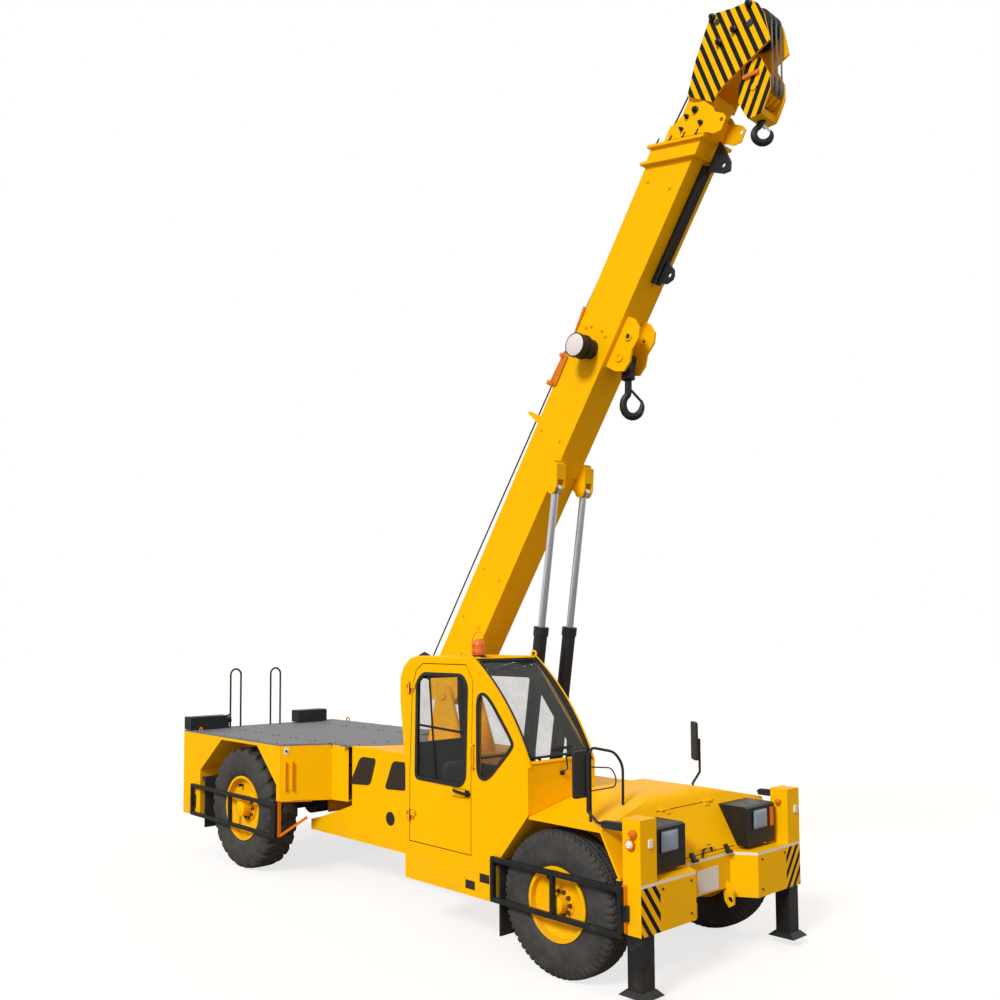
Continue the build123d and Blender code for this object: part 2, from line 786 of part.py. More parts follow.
with BuildPart() as rear_body:
    # outer sides with the wheel arch cut out
    for y0 in (-half_width + skin, half_width):
        with BuildSketch(upright(y0)):
            with BuildLine():
                Polyline(
                    (rear_x, 502), (rear_x, deck_z - skin), (behind(5190), deck_z - skin),
                    (behind(5190), floor_z), (behind(5265), floor_z), (behind(5265), 1134),
                    (behind(5710), 1560), (behind(6585), 1560), (behind(7138), 1117),
                    (behind(7138), 502), close=True,
                )
            make_face()
        extrude(amount=skin)
    # arch linings
    for y0 in (half_width, -inner_wall_y):
        with BuildSketch(upright(y0)):
            with BuildLine():
                Polyline(
                    (behind(7138), 502), (behind(7138), 1117), (behind(6585), 1560),
                    (behind(5710), 1560), (behind(5265), 1134), (behind(5265), floor_z),
                    (behind(5245), floor_z), (behind(5245), 1142), (behind(5702), 1580),
                    (behind(6592), 1580), (behind(7158), 1127), (behind(7158), 502), close=True,
                )
            make_face()
        extrude(amount=half_width - inner_wall_y)
    for side in (-1, 1):
        with BuildSketch(upright(side * (inner_wall_y - skin / 2) + skin / 2)):
            with BuildLine():
                Polyline(
                    (behind(7158), 950), (behind(7158), deck_z - skin), (behind(5245), deck_z - skin),
                    (behind(5245), floor_z), (behind(5265), floor_z), (behind(5500), 950), close=True,
                )
            make_face()
        extrude(amount=skin)
        with Locations((behind(7148), side * (inner_wall_y + rear_rail_y + 30) / 2, 1270)):
            Box(20, inner_wall_y - rear_rail_y - 30, 640)
    # rear panel
    with Locations((rear_x + skin / 2, 0, (502 + deck_z - skin) / 2)):
        Box(skin, 2 * half_width, deck_z - skin - 502)
    # nose: two oblique faces and a bevel each side, and the floor under them
    for side in (-1, 1):
        plan = [(x, side * y) for x, y in nose_plan[:3]]
        with BuildSketch(Plane.XY.offset(floor_z)):
            with BuildLine():
                Polyline(
                    plan[0], plan[1], plan[2],
                    (behind(4660), side * 620), (behind(4914), side * 674),
                    (behind(5205), side * (half_width - skin)), close=True,
                )
            make_face()
        extrude(amount=deck_z - skin - floor_z)
    with BuildSketch(Plane.XY.offset(floor_z)):
        with BuildLine():
            Polyline(
                (column_x + 15, 300), (behind(5265), 300), (behind(5265), half_width), *nose_plan,
                (behind(5265), -half_width), (behind(5265), -300), (column_x + 15, -300), close=True,
            )
        make_face()
    extrude(amount=skin)

with BuildPart() as rear_deck:
    with BuildSketch(Plane.XY.offset(deck_z - skin)):
        with BuildLine():
            Polyline((rear_x, half_width), *nose_plan, (rear_x, -half_width), close=True)
        make_face()
        with BuildSketch(mode=Mode.PRIVATE) as nose_disc:
            with Locations((pivot_x, 0)):
                Circle(nose_r)
            with Locations((pivot_x - nose_r, 0)):
                Rectangle(2 * nose_r + 640, 2 * nose_r + 10, mode=Mode.SUBTRACT)
        add(nose_disc.sketch)
    extrude(amount=skin)

with BuildPart() as deck_hoops:
    for y_mid in (-485, 171):
        with BuildLine() as hoop:
            Line((behind(7550), y_mid - 82, deck_z), (behind(7550), y_mid - 82, deck_z + 730))
            ThreePointArc(
                (behind(7550), y_mid - 82, deck_z + 730),
                (behind(7550), y_mid, deck_z + 812),
                (behind(7550), y_mid + 82, deck_z + 730),
            )
            Line((behind(7550), y_mid + 82, deck_z + 730), (behind(7550), y_mid + 82, deck_z))
        with BuildSketch(Plane.XY.offset(deck_z)):
            with Locations((behind(7550), y_mid - 82)):
                Circle(13)
        sweep(path=hoop.wires()[0])

with BuildPart() as tail_boxes:
    for y_mid, width in ((-965, 560), (735, 500)):
        with Locations((behind(7500), y_mid, deck_z + 95)):
            Box(190, width, 170)
        with Locations((behind(7500), y_mid, deck_z + 5)):
            Box(120, width - 120, 10)

with BuildPart() as engine_block:
    with Locations((behind(6890), 0, 1245)):
        Box(920, 2 * rear_rail_y, 570)

with BuildPart() as rear_axle:
    with Locations(Plane((rear_axle_x, 0, rear_tyre_r), z_dir=(0, 1, 0))):
        Cylinder(100, 2 * (half_width - rear_tyre_w - 0.5))
        Cylinder(185, 340)
    for side in (-1, 1):
        with Locations((rear_axle_x, side * (rear_rail_y + 15), 865)):
            Box(190, 110, 70)

with BuildPart() as rear_guards:
    for side in (-1, 1):
        y0 = side * (half_width + 40)
        for z0 in (540, 905):
            with Locations(Plane((behind(6275), y0, z0), z_dir=(1, 0, 0))):
                Cylinder(rod_small, 2000)
        for x0 in (behind(7275), behind(6275), behind(5275)):
            with Locations((x0, y0, 722)):
                Cylinder(rod_small, 365 + 2 * rod_small)
        with Locations((behind(7275), side * (half_width + 20), 700)):
            Box(60, 40, 160)
        with Locations((behind(5235), side * (half_width + 20), 735)):
            Box(50, 80, 418)

with BuildPart() as mudflaps_rear:
    for side in (-1, 1):
        with Locations((behind(7060), side * (half_width - 220), 700)):
            Box(12, 380, 660)
        with Locations((behind(7096), side * (half_width - 220), 1005)):
            Box(84, 380, 40)

# ================================================================= wheels
for axle, axle_x, r, w, rim_r, end in (
    ("front", front_axle_x, front_tyre_r, front_tyre_w, front_rim_r, 15),
    ("rear", rear_axle_x, rear_tyre_r, rear_tyre_w, rear_rim_r, 25),
):
    for hand, side in (("right", -1), ("left", 1)):
        y_mid = side * (half_width - w / 2)
        wheel_plane = Plane(origin=(axle_x, y_mid, r), x_dir=(0, side, 0), z_dir=(1, 0, 0))
        bead = 0.38 * w
        seat_r = rim_r - 18
        with BuildPart() as tyre:
            with BuildSketch(wheel_plane):
                with BuildLine():
                    Polyline(
                        (-bead, seat_r), (-bead, rim_r + 4), (-0.49 * w, rim_r + 0.3 * (r - rim_r)),
                        (-0.5 * w, rim_r + 0.55 * (r - rim_r)), (-0.47 * w, r - 36), (-0.4 * w, r - 8),
                        (-0.15 * w, r), (0.15 * w, r), (0.4 * w, r - 8), (0.47 * w, r - 36),
                        (0.5 * w, rim_r + 0.55 * (r - rim_r)), (0.49 * w, rim_r + 0.3 * (r - rim_r)),
                        (bead, rim_r + 4), (bead, seat_r), close=True,
                    )
                make_face()
            revolve(axis=Axis((axle_x, y_mid, r), (0, 1, 0)))
        with BuildPart() as rim:
            with BuildSketch(wheel_plane):
                with BuildLine():
                    Polyline(
                        (-bead - 12, rim_r), (-bead, rim_r), (-bead, seat_r), (bead, seat_r),
                        (bead, rim_r), (bead + 12, rim_r), (bead + 12, rim_r - 30),
                        (0.25 * w, rim_r - 34), (0.2 * w, rim_r - 90), (0.14 * w, 0.42 * rim_r),
                        (0.2 * w, 0.4 * rim_r), (0.2 * w, 0.26 * rim_r), (0.46 * w, 0.25 * rim_r),
                        (0.46 * w, 0), (-0.5 * w, 0), (-0.5 * w, 0.3 * rim_r), (0.08 * w, 0.32 * rim_r),
                        (0.14 * w, rim_r - 96), (0.12 * w, rim_r - 34), (-bead - 12, rim_r - 34),
                        close=True,
                    )
                make_face()
            revolve(axis=Axis((axle_x, y_mid, r), (0, 1, 0)))
        for what, made in (("tyre", tyre), ("rim", rim)):
            name = what + "_" + axle + "_" + hand
            made.part.label = name
            export_step(made.part, "parts/" + name + ".step")

# ================================================================= boom
with BuildPart() as boom_base:
    with BuildSketch(boom_plane(0)):
        with BuildLine():
            Polyline(
                (-130, -20), (-60, base_low + 40), (60, base_low), (6145, base_low), (5945, base_high),
                (-40, base_high), (-190, 200), close=True,
            )
        make_face()
    extrude(amount=base_w / 2, both=True)
    with BuildSketch(boom_plane(0)):
        with Locations(((420 + 6300) / 2, (base_low + base_high) / 2)):
            Rectangle(6300 - 420, base_high - base_low - 2 * base_wall)
    extrude(amount=base_w / 2 - base_wall, both=True, mode=Mode.SUBTRACT)
    with Locations(Plane((foot_x, 0, foot_z), z_dir=(0, 1, 0))):
        Cylinder(foot_pin_r + 1, base_w + 20, mode=Mode.SUBTRACT)
    # collar: two leaning flanges with a web between them
    for s0, s1, grow in ((5973, 5998, 45), (6130, 6155, 45), (5990, 6140, 12)):
        with BuildSketch(boom_plane(0)):
            with BuildLine():
                Polyline(
                    (s0, base_low - grow), (s1, base_low - grow),
                    (s1 - 200 - 0.41 * grow, base_high + grow), (s0 - 200 - 0.41 * grow, base_high + grow),
                    close=True,
                )
            make_face()
        extrude(amount=base_w / 2 + grow, both=True)
    with BuildSketch(boom_plane(0)):
        with Locations((5950, (base_low + base_high) / 2)):
            Rectangle(700, base_high - base_low - 2 * base_wall)
    extrude(amount=base_w / 2 - base_wall, both=True, mode=Mode.SUBTRACT)
    # wear pads inside the mouth: below, above and at the sides of the next section
    for s0, n0, length, height, half in (
        (6030, (base_low + base_wall + mid_low) / 2 - 1, 100, mid_low - base_low - base_wall + 1, 120),
        (5850, (base_high - base_wall + mid_high) / 2 + 1, 100, top_gap + 1, 120),
    ):
        with BuildSketch(boom_plane(0)):
            with Locations((s0, n0)):
                Rectangle(length, height)
        extrude(amount=half, both=True)
    for side in (-1, 1):
        with BuildSketch(boom_plane(side * ((base_w / 2 - base_wall + mid_w / 2) / 2 + 1))):
            with Locations((5900, 100)):
                Rectangle(100, 200)
        extrude(amount=(base_w / 2 - base_wall - mid_w / 2 + 1) / 2, both=True)
    # boxed ears for the lift-cylinder rods: a cross plate, two plates a side and a front web
    with BuildSketch(boom_plane(0)):
        with Locations((rod_pin_s + 180, base_low - 10)):
            Rectangle(160, 20)
    extrude(amount=ear_outer_y + 8, both=True)
    for side in (-1, 1):
        for ear_y in (ear_inner_y, ear_outer_y):
            with BuildSketch(boom_plane(side * ear_y)):
                with BuildLine():
                    Polyline(
                        (rod_pin_s - 25, base_low - 20), (rod_pin_s + 245, base_low - 20),
                        (rod_pin_s + 245, base_low - 65), (rod_pin_s + 40, rod_pin_n - 56),
                        (rod_pin_s - 40, rod_pin_n - 30), close=True,
                    )
                make_face()
                with Locations((rod_pin_s, rod_pin_n)):
                    Circle(56)
            extrude(amount=11, both=True)
            with Locations(Plane(boom_point(rod_pin_s, rod_pin_n, side * ear_y), z_dir=(0, 1, 0))):
                Cylinder(rod_pin_r, 34 if ear_y == ear_inner_y else 22)
        with BuildSketch(boom_plane(side * (ear_inner_y + ear_outer_y) / 2)):
            with BuildLine():
                Polyline(
                    (rod_pin_s + 245, base_low - 20), (rod_pin_s + 245, base_low - 65),
                    (rod_pin_s + 110, rod_pin_n - 17), (rod_pin_s + 110, rod_pin_n - 1),
                    (rod_pin_s + 229, base_low - 56), (rod_pin_s + 229, base_low - 20), close=True,
                )
            make_face()
        extrude(amount=(ear_outer_y - ear_inner_y) / 2, both=True)
    # bracket for the fixed hook
    for side in (-1, 1):
        with BuildSketch(boom_plane(side * 120)):
            with BuildLine():
                Polyline(
                    (3972, base_low + 5), (4476, base_low + 5), (4488, -240), (4433, -345),
                    (4346, -385), (4220, -367), (4113, -404), (4010, -386), (3974, -291), close=True,
                )
            make_face()
        extrude(amount=12, both=True)
        with BuildSketch(boom_plane(side * 120)):
            with Locations((stow_s, stow_n)):
                Circle(38)
        extrude(amount=17, both=True)
    with BuildSketch(boom_plane(0)):
        with Locations((stow_s, stow_n)):
            Circle(18)
    extrude(amount=160, both=True, mode=Mode.SUBTRACT)
    with Locations(Plane(hook_pin, z_dir=(0, 1, 0))):
        Cylinder(25, 280)
    # rope tab on the top plate
    with BuildSketch(boom_plane(-base_w / 2 + 14)):
        with BuildLine():
            Polyline((3160, base_high - 5), (3235, base_high - 5), (3222, 518), (3192, 518), close=True)
        make_face()
    extrude(amount=12, both=True)

with BuildPart() as boom_bar:
    with BuildSketch(boom_plane(20)):
        with Locations(((4836 + 5935) / 2, base_low - 32)):
            Rectangle(5935 - 4836, 64)
    extrude(amount=40, both=True)
    # each eye plate: its outline hanging from the bar, and its hole
    for eye_outline, eye in (
        (
            ((4840, base_low - 30), (5080, base_low - 30), (5020, -320), (4970, -350), (4930, -350),
             (4880, -310)), (4960, -302),
        ),
        (
            ((5800, base_low - 30), (5935, base_low - 30), (5950, base_low - 56),
             (6162, base_low - 56), (6117, -287), (6028, -407), (5956, -443), (5918, -384),
             (5900, -240)), (5983, -350),
        ),
    ):
        with BuildSketch(boom_plane(20)):
            with BuildLine():
                Polyline(*eye_outline, close=True)
            make_face()
            with Locations(eye):
                Circle(22, mode=Mode.SUBTRACT)
        extrude(amount=14, both=True)

with BuildPart() as boom_mid:
    with BuildSketch(boom_plane(0)):
        with BuildLine():
            Polyline((700, mid_low), (6330, mid_low), (6150, mid_high), (700, mid_high), close=True)
        make_face()
    extrude(amount=mid_w / 2, both=True)
    # cheek plates at the mouth, each with a lug under it
    for side in (-1, 1):
        with BuildSketch(boom_plane(side * (mid_w / 2 + 6))):
            with BuildLine():
                Polyline(
                    (6178, -160), (6030, 225), (6150, 235), (6240, 190), (6369, 137), (6416, 8),
                    (6391, -102), (6352, -160), (6356, -252), (6331, -301), (6222, -309),
                    (6180, -244), close=True,
                )
            make_face()
            with Locations((6304, -262)):
                Circle(18, mode=Mode.SUBTRACT)
        extrude(amount=6, both=True)
    with BuildSketch(boom_plane(0)):
        with Locations((3600, (mid_low + mid_high) / 2)):
            Rectangle(5850, mid_high - mid_low - 2 * section_wall)
    extrude(amount=mid_w / 2 - section_wall, both=True, mode=Mode.SUBTRACT)

with BuildPart() as mid_pads:
    for s0, n0, length, height, half in (
        (6230, (mid_low + section_wall + fly_low) / 2 - 1, 80, fly_low - mid_low - section_wall + 1, 100),
        (6060, (mid_high - section_wall + fly_high) / 2 + 1, 80, top_gap + 1, 100),
    ):
        with BuildSketch(boom_plane(0)):
            with Locations((s0, n0)):
                Rectangle(length, height)
        extrude(amount=half, both=True)
    for side in (-1, 1):
        with BuildSketch(boom_plane(side * ((mid_w / 2 - section_wall + fly_w / 2) / 2 + 1))):
            with Locations((6100, 90)):
                Rectangle(80, 180)
        extrude(amount=(mid_w / 2 - section_wall - fly_w / 2 + 1) / 2, both=True)
boom_mid.part = boom_mid.part + mid_pads.part

head_outline = [
    (6420, fly_high), (6716, 292), (7050, 335), (7105, 318), (7175, 131), (7255, -34),
    (7240, -110), (7177, -212), (6982, -394), (6580, -136), (6507, fly_low), (6420, fly_low),
]
with BuildPart() as boom_fly:
    with BuildSketch(boom_plane(0)):
        with Locations(((900 + 6480) / 2, (fly_low + fly_high) / 2)):
            Rectangle(6480 - 900, fly_high - fly_low)
    extrude(amount=fly_w / 2, both=True)
    with BuildSketch(boom_plane(0)):
        with Locations(((800 + 6460) / 2, (fly_low + fly_high) / 2)):
            Rectangle(6460 - 800, fly_high - fly_low - 2 * section_wall)
    extrude(amount=fly_w / 2 - section_wall, both=True, mode=Mode.SUBTRACT)
    for side in (-1, 1):
        with BuildSketch(boom_plane(side * (head_y + head_t / 2) + head_t / 2)):
            with BuildLine():
                Polyline(*head_outline, close=True)
            make_face()
            for s0, n0, r0 in ((sheave_s, sheave_n, 31), (7050, 230, 26)):
                with Locations((s0, n0)):
                    Circle(r0, mode=Mode.SUBTRACT)
        extrude(amount=head_t)
    # plates that close the head between its sides
    with BuildSketch(boom_plane(0)):
        with BuildLine():
            Polyline(
                (6420, fly_low), (6420, fly_high), (6716, 292), (6716, 272), (6460, fly_high - 20),
                (6460, fly_low), close=True,
            )
        make_face()
    extrude(amount=head_y + 2, both=True)
    for s0, n0 in ((6890, 109), (7008, 8)):
        for side in (-1, 1):
            with Locations(Plane(boom_point(s0, n0, side * (head_y + head_t / 2 + 8)), z_dir=(0, 1, 0))):
                Cylinder(22, 36)

with BuildPart() as head_sheaves:
    with Locations(Plane(sheave_pin, z_dir=(0, 1, 0))):
        Cylinder(30, 2 * (head_y + head_t) + 20)
        for y0 in fall_rows:
            with Locations((0, 0, y0)):
                Cylinder(sheave_r + 12, 36)
                Torus(sheave_r + 12, 12, mode=Mode.SUBTRACT)
    with Locations(Plane(boom_point(7050, 230), z_dir=(0, 1, 0))):
        Cylinder(25, 2 * (head_y + head_t) + 20)
        Cylinder(70, 34)

drum_s = 45.0
drum_n = 490.0
with BuildPart() as winch:
    for side in (-1, 1):
        with BuildSketch(boom_plane(side * 168 + 8)):
            with BuildLine():
                Polyline(
                    (-40, base_high), (240, base_high), (190, 590), (110, 650), (-10, 650), (-70, 580),
                    close=True,
                )
            make_face()
        extrude(amount=16)
    with Locations(Plane(boom_point(drum_s, drum_n), z_dir=(0, 1, 0))):
        Cylinder(90, 320)
        Cylinder(26, 380)
        for y0 in (-140, 140):
            with Locations((0, 0, y0)):
                Cylinder(135, 14)

with BuildPart() as cable_reel:
    # hub on the boom's right side, then the drum with its flanges and face
    with Locations(Plane(boom_point(4056, 69, -base_w / 2), z_dir=(0, -1, 0))):
        for radius, y0, y1 in ((96, 0, 105), (118, 105, 132), (108, 132, 210), (118, 210, 240)):
            with Locations((0, 0, (y0 + y1) / 2)):
                Cylinder(radius, y1 - y0)

# ---- hook block hanging from the head sheaves
hook_turn = 45.0
block_x, block_z = sheave_pin[0], 7600.0
block_w = 130.0
with BuildPart() as hook_block:
    for side in (-1, 1):
        with BuildSketch(upright(side * (block_w - 8) + 8)):
            with BuildLine():
                Polyline(
                    (block_x - 65, block_z + 240), (block_x + 65, block_z + 240),
                    (block_x + 148, block_z + 50), (block_x + 150, block_z - 80),
                    (block_x + 90, block_z - 210), (block_x + 60, block_z - 258),
                    (block_x - 60, block_z - 258), (block_x - 90, block_z - 210),
                    (block_x - 150, block_z - 80), (block_x - 148, block_z + 50), close=True,
                )
            make_face()
        extrude(amount=16)
    with Locations(Plane((block_x, 0, block_z), z_dir=(0, 1, 0))):
        Cylinder(28, 2 * block_w + 24)
        for y0 in fall_rows:
            with Locations((0, 0, y0)):
                Cylinder(sheave_r + 12, 36)
                Torus(sheave_r + 12, 12, mode=Mode.SUBTRACT)
                Torus(sheave_r + rope_r - 0.4, rope_r)
    with Locations((block_x, 0, block_z - 224)):
        Box(120, 2 * block_w - 10, 64)
        Cylinder(31, 90, mode=Mode.SUBTRACT)
    for y0 in fall_rows:
        for dx in (-1, 1):
            with Locations((block_x + dx * (sheave_r + rope_r + 0.2), y0, (block_z + sheave_pin[2]) / 2)):
                Cylinder(rope_r, sheave_pin[2] - block_z)


def hook_part(x0, z_bowl, wide, tall, lean, shank_r, z_top):
    """A forged hook under its shank: its bowl's half-width and half-height, the shank off by lean."""
    a = radians(hook_turn)
    turn = Plane(origin=(x0, 0, z_bowl), x_dir=(cos(a), sin(a), 0), z_dir=(sin(a), -cos(a), 0))
    back = [(-0.66, 0.7), (-0.93, 0.36), (-1.0, 0.0), (-0.9, -0.45), (-0.58, -0.82), (0.0, -1.0)]
    front = [(0.56, -0.85), (0.9, -0.48), (1.0, 0.1), (0.96, 0.7), (0.86, 1.03)]
    mouth = [(0.72, 0.88), (0.55, 0.25), (0.42, -0.08), (0.18, -0.29), (-0.06, -0.27), (-0.2, 0.05)]
    throat = [(-0.1, 0.45), (lean + 0.25, 0.8)]
    neck = [(lean + 0.28, 0.92), (lean - 0.28, 0.92)]
    outline = [((u - lean) * wide, v * tall) for u, v in back + front + mouth + throat + neck]
    with BuildPart() as made:
        with BuildSketch(turn):
            with BuildLine():
                Polyline(*outline, close=True)
            make_face()
        extrude(amount=0.2 * wide, both=True)
        shank_low = z_bowl + 0.7 * tall
        with Locations((x0, 0, (z_top + shank_low) / 2)):
            Cylinder(shank_r, z_top - shank_low)
    return made


main_hook = hook_part(block_x, block_z - 374, 107.0, 107.0, 0.14, 30.0, block_z - 160)
with BuildPart() as hook_nut:
    with Locations((block_x, 0, block_z - 176)):
        Cylinder(46, 31)
main_hook.part = main_hook.part + hook_nut.part

with BuildPart() as fixed_hook:
    with Locations(Plane(hook_pin, z_dir=(0, 1, 0))):
        Cylinder(62, 120)
        Cylinder(26, 130, mode=Mode.SUBTRACT)
    with Locations((hook_pin[0], 0, hook_pin[2] - 120)):
        Cylinder(66, 130)
    with Locations((hook_pin[0], 0, hook_pin[2] - 178)):
        Cylinder(84, 70)
    add(hook_part(hook_pin[0], hook_pin[2] - 441, 129.0, 174.0, -0.23, 34.0, hook_pin[2] - 200).part)

# ---- lift cylinders
lift_dx = rod_pin[0] - cylinder_x
lift_dz = rod_pin[2] - cylinder_z
lift_len = hypot(lift_dx, lift_dz)
barrel_len = 1805.0
rod_len = 1800.0
for hand, side in (("right", -1), ("left", 1)):
    axis_plane = Plane(
        origin=(cylinder_x, side * cylinder_y, cylinder_z), x_dir=(0, 1, 0), z_dir=(lift_dx, 0, lift_dz)
    )
    with BuildPart() as barrel:
        with BuildSketch(axis_plane.offset(85)):
            Circle(barrel_r)
        extrude(amount=barrel_len - 85)
        with BuildSketch(axis_plane.offset(40)):
            Rectangle(60, 96)
        extrude(amount=50)
        with BuildSketch(axis_plane.offset(barrel_len - 90)):
            Circle(barrel_r + 9)
        extrude(amount=90)
        with BuildSketch(axis_plane.offset(105)):
            Circle(barrel_r - 14)
        extrude(amount=barrel_len - 105 - 60, mode=Mode.SUBTRACT)
        with BuildSketch(axis_plane.offset(barrel_len - 70)):
            Circle(rod_r + 1)
        extrude(amount=80, mode=Mode.SUBTRACT)
        with Locations(Plane((cylinder_x, side * cylinder_y, cylinder_z), z_dir=(0, 1, 0))):
            Cylinder(62, 60)
            Cylinder(rod_pin_r + 1, 70, mode=Mode.SUBTRACT)
    with BuildPart() as rod:
        with BuildSketch(axis_plane.offset(lift_len - rod_len)):
            Circle(rod_r)
        extrude(amount=rod_len - 50)
        with BuildSketch(axis_plane.offset(lift_len - rod_len)):
            Circle(barrel_r - 16)
        extrude(amount=50)
        with Locations(Plane((rod_pin[0], side * cylinder_y, rod_pin[2]), z_dir=(0, 1, 0))):
            Cylinder(62, 60)
            Cylinder(rod_pin_r + 1, 90, mode=Mode.SUBTRACT)
    for what, made in (("lift_barrel", barrel), ("lift_rod", rod)):
        name = what + "_" + hand
        made.part.label = name
        export_step(made.part, "parts/" + name + ".step")

part_list = {
    "front_chassis": front_chassis, "articulation_pins": articulation_pins, "bumper": bumper,
    "front_cowl": front_cowl, "hood_lid": hood_lid, "cab_shell": cab_shell, "cab_door": cab_door,
    "door_glass": door_glass, "cab_glass": cab_glass, "headlamp_boxes": headlamp_boxes,
    "mirrors": mirrors, "seat": seat, "steering_console": steering_console,
    "front_axle": front_axle, "front_guards": front_guards, "mudflaps_front": mudflaps_front,
    "side_tank": side_tank, "beacon": beacon,
    "rear_chassis": rear_chassis, "rear_body": rear_body, "rear_deck": rear_deck,
    "deck_hoops": deck_hoops, "tail_boxes": tail_boxes, "engine_block": engine_block,
    "rear_axle": rear_axle, "rear_guards": rear_guards, "mudflaps_rear": mudflaps_rear,
    "boom_base": boom_base, "boom_bar": boom_bar, "boom_mid": boom_mid, "boom_fly": boom_fly,
    "head_sheaves": head_sheaves, "winch": winch, "cable_reel": cable_reel,
    "hook_block": hook_block, "main_hook": main_hook, "fixed_hook": fixed_hook,
}
for name, made in part_list.items():
    made.part.label = name
    export_step(made.part, "parts/" + name + ".step")
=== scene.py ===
"""An articulated mobile crane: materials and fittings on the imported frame. Metres, +X forward."""

from math import cos, pi, radians, sin

import bmesh
import bpy
import numpy as np
from mathutils import Matrix, Vector


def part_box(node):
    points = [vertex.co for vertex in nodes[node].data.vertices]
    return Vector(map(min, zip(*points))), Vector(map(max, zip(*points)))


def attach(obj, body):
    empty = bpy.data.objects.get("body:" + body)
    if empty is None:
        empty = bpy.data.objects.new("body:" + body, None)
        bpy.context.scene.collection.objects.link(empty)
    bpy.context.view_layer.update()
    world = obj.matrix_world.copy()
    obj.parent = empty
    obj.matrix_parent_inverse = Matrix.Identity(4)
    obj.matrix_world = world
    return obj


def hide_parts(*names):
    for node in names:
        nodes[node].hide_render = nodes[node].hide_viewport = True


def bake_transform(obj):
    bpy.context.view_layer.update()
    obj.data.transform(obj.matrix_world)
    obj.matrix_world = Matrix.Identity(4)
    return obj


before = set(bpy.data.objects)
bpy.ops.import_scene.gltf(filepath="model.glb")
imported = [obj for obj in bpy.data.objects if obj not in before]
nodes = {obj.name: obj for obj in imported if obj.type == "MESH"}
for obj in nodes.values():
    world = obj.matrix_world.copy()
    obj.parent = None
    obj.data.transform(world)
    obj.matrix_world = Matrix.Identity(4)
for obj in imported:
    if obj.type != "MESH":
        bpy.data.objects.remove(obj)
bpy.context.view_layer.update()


# ---- yellow paint
# Two-pack enamel over primed steel plate: a fine orange-peel skin, road dust low down and a
# little bleaching. It is sprayed on the frames, the cab, the boom and the wheels.
class Val:
    """A value that varies over a surface: Python's operators on it add Math nodes."""

    def __init__(self, finish, socket):
        self.finish, self.socket = finish, socket

    def _math(self, operation, *values):
        return self.finish.node("ShaderNodeMath", {"operation": operation}, *values)

    def __add__(self, other):
        return self._math("ADD", self, other)

    def __sub__(self, other):
        return self._math("SUBTRACT", self, other)

    def __rsub__(self, other):
        return self._math("SUBTRACT", other, self)

    def __mul__(self, other):
        return self._math("MULTIPLY", self, other)

    def __gt__(self, other):
        return self._math("GREATER_THAN", self, other)

    def __lt__(self, other):
        return self._math("LESS_THAN", self, other)

    __radd__, __rmul__ = __add__, __mul__

    def wrap(self, span):
        """What is left over each time the value has run through the span."""
        return self._math("FLOORED_MODULO", self, span)

    def wave(self):
        """The sine of the value as an angle in radians."""
        return self._math("SINE", self)

    def abs(self):
        """The value with its minus sign dropped."""
        return self._math("ABSOLUTE", self)

    def ramp(self, low, high, low_value=0.0, high_value=1.0):
        """Rises from low_value at low to high_value at high, held flat outside."""
        return self.finish.node(
            "ShaderNodeMapRange", {"clamp": True}, self, low, high, low_value, high_value
        )


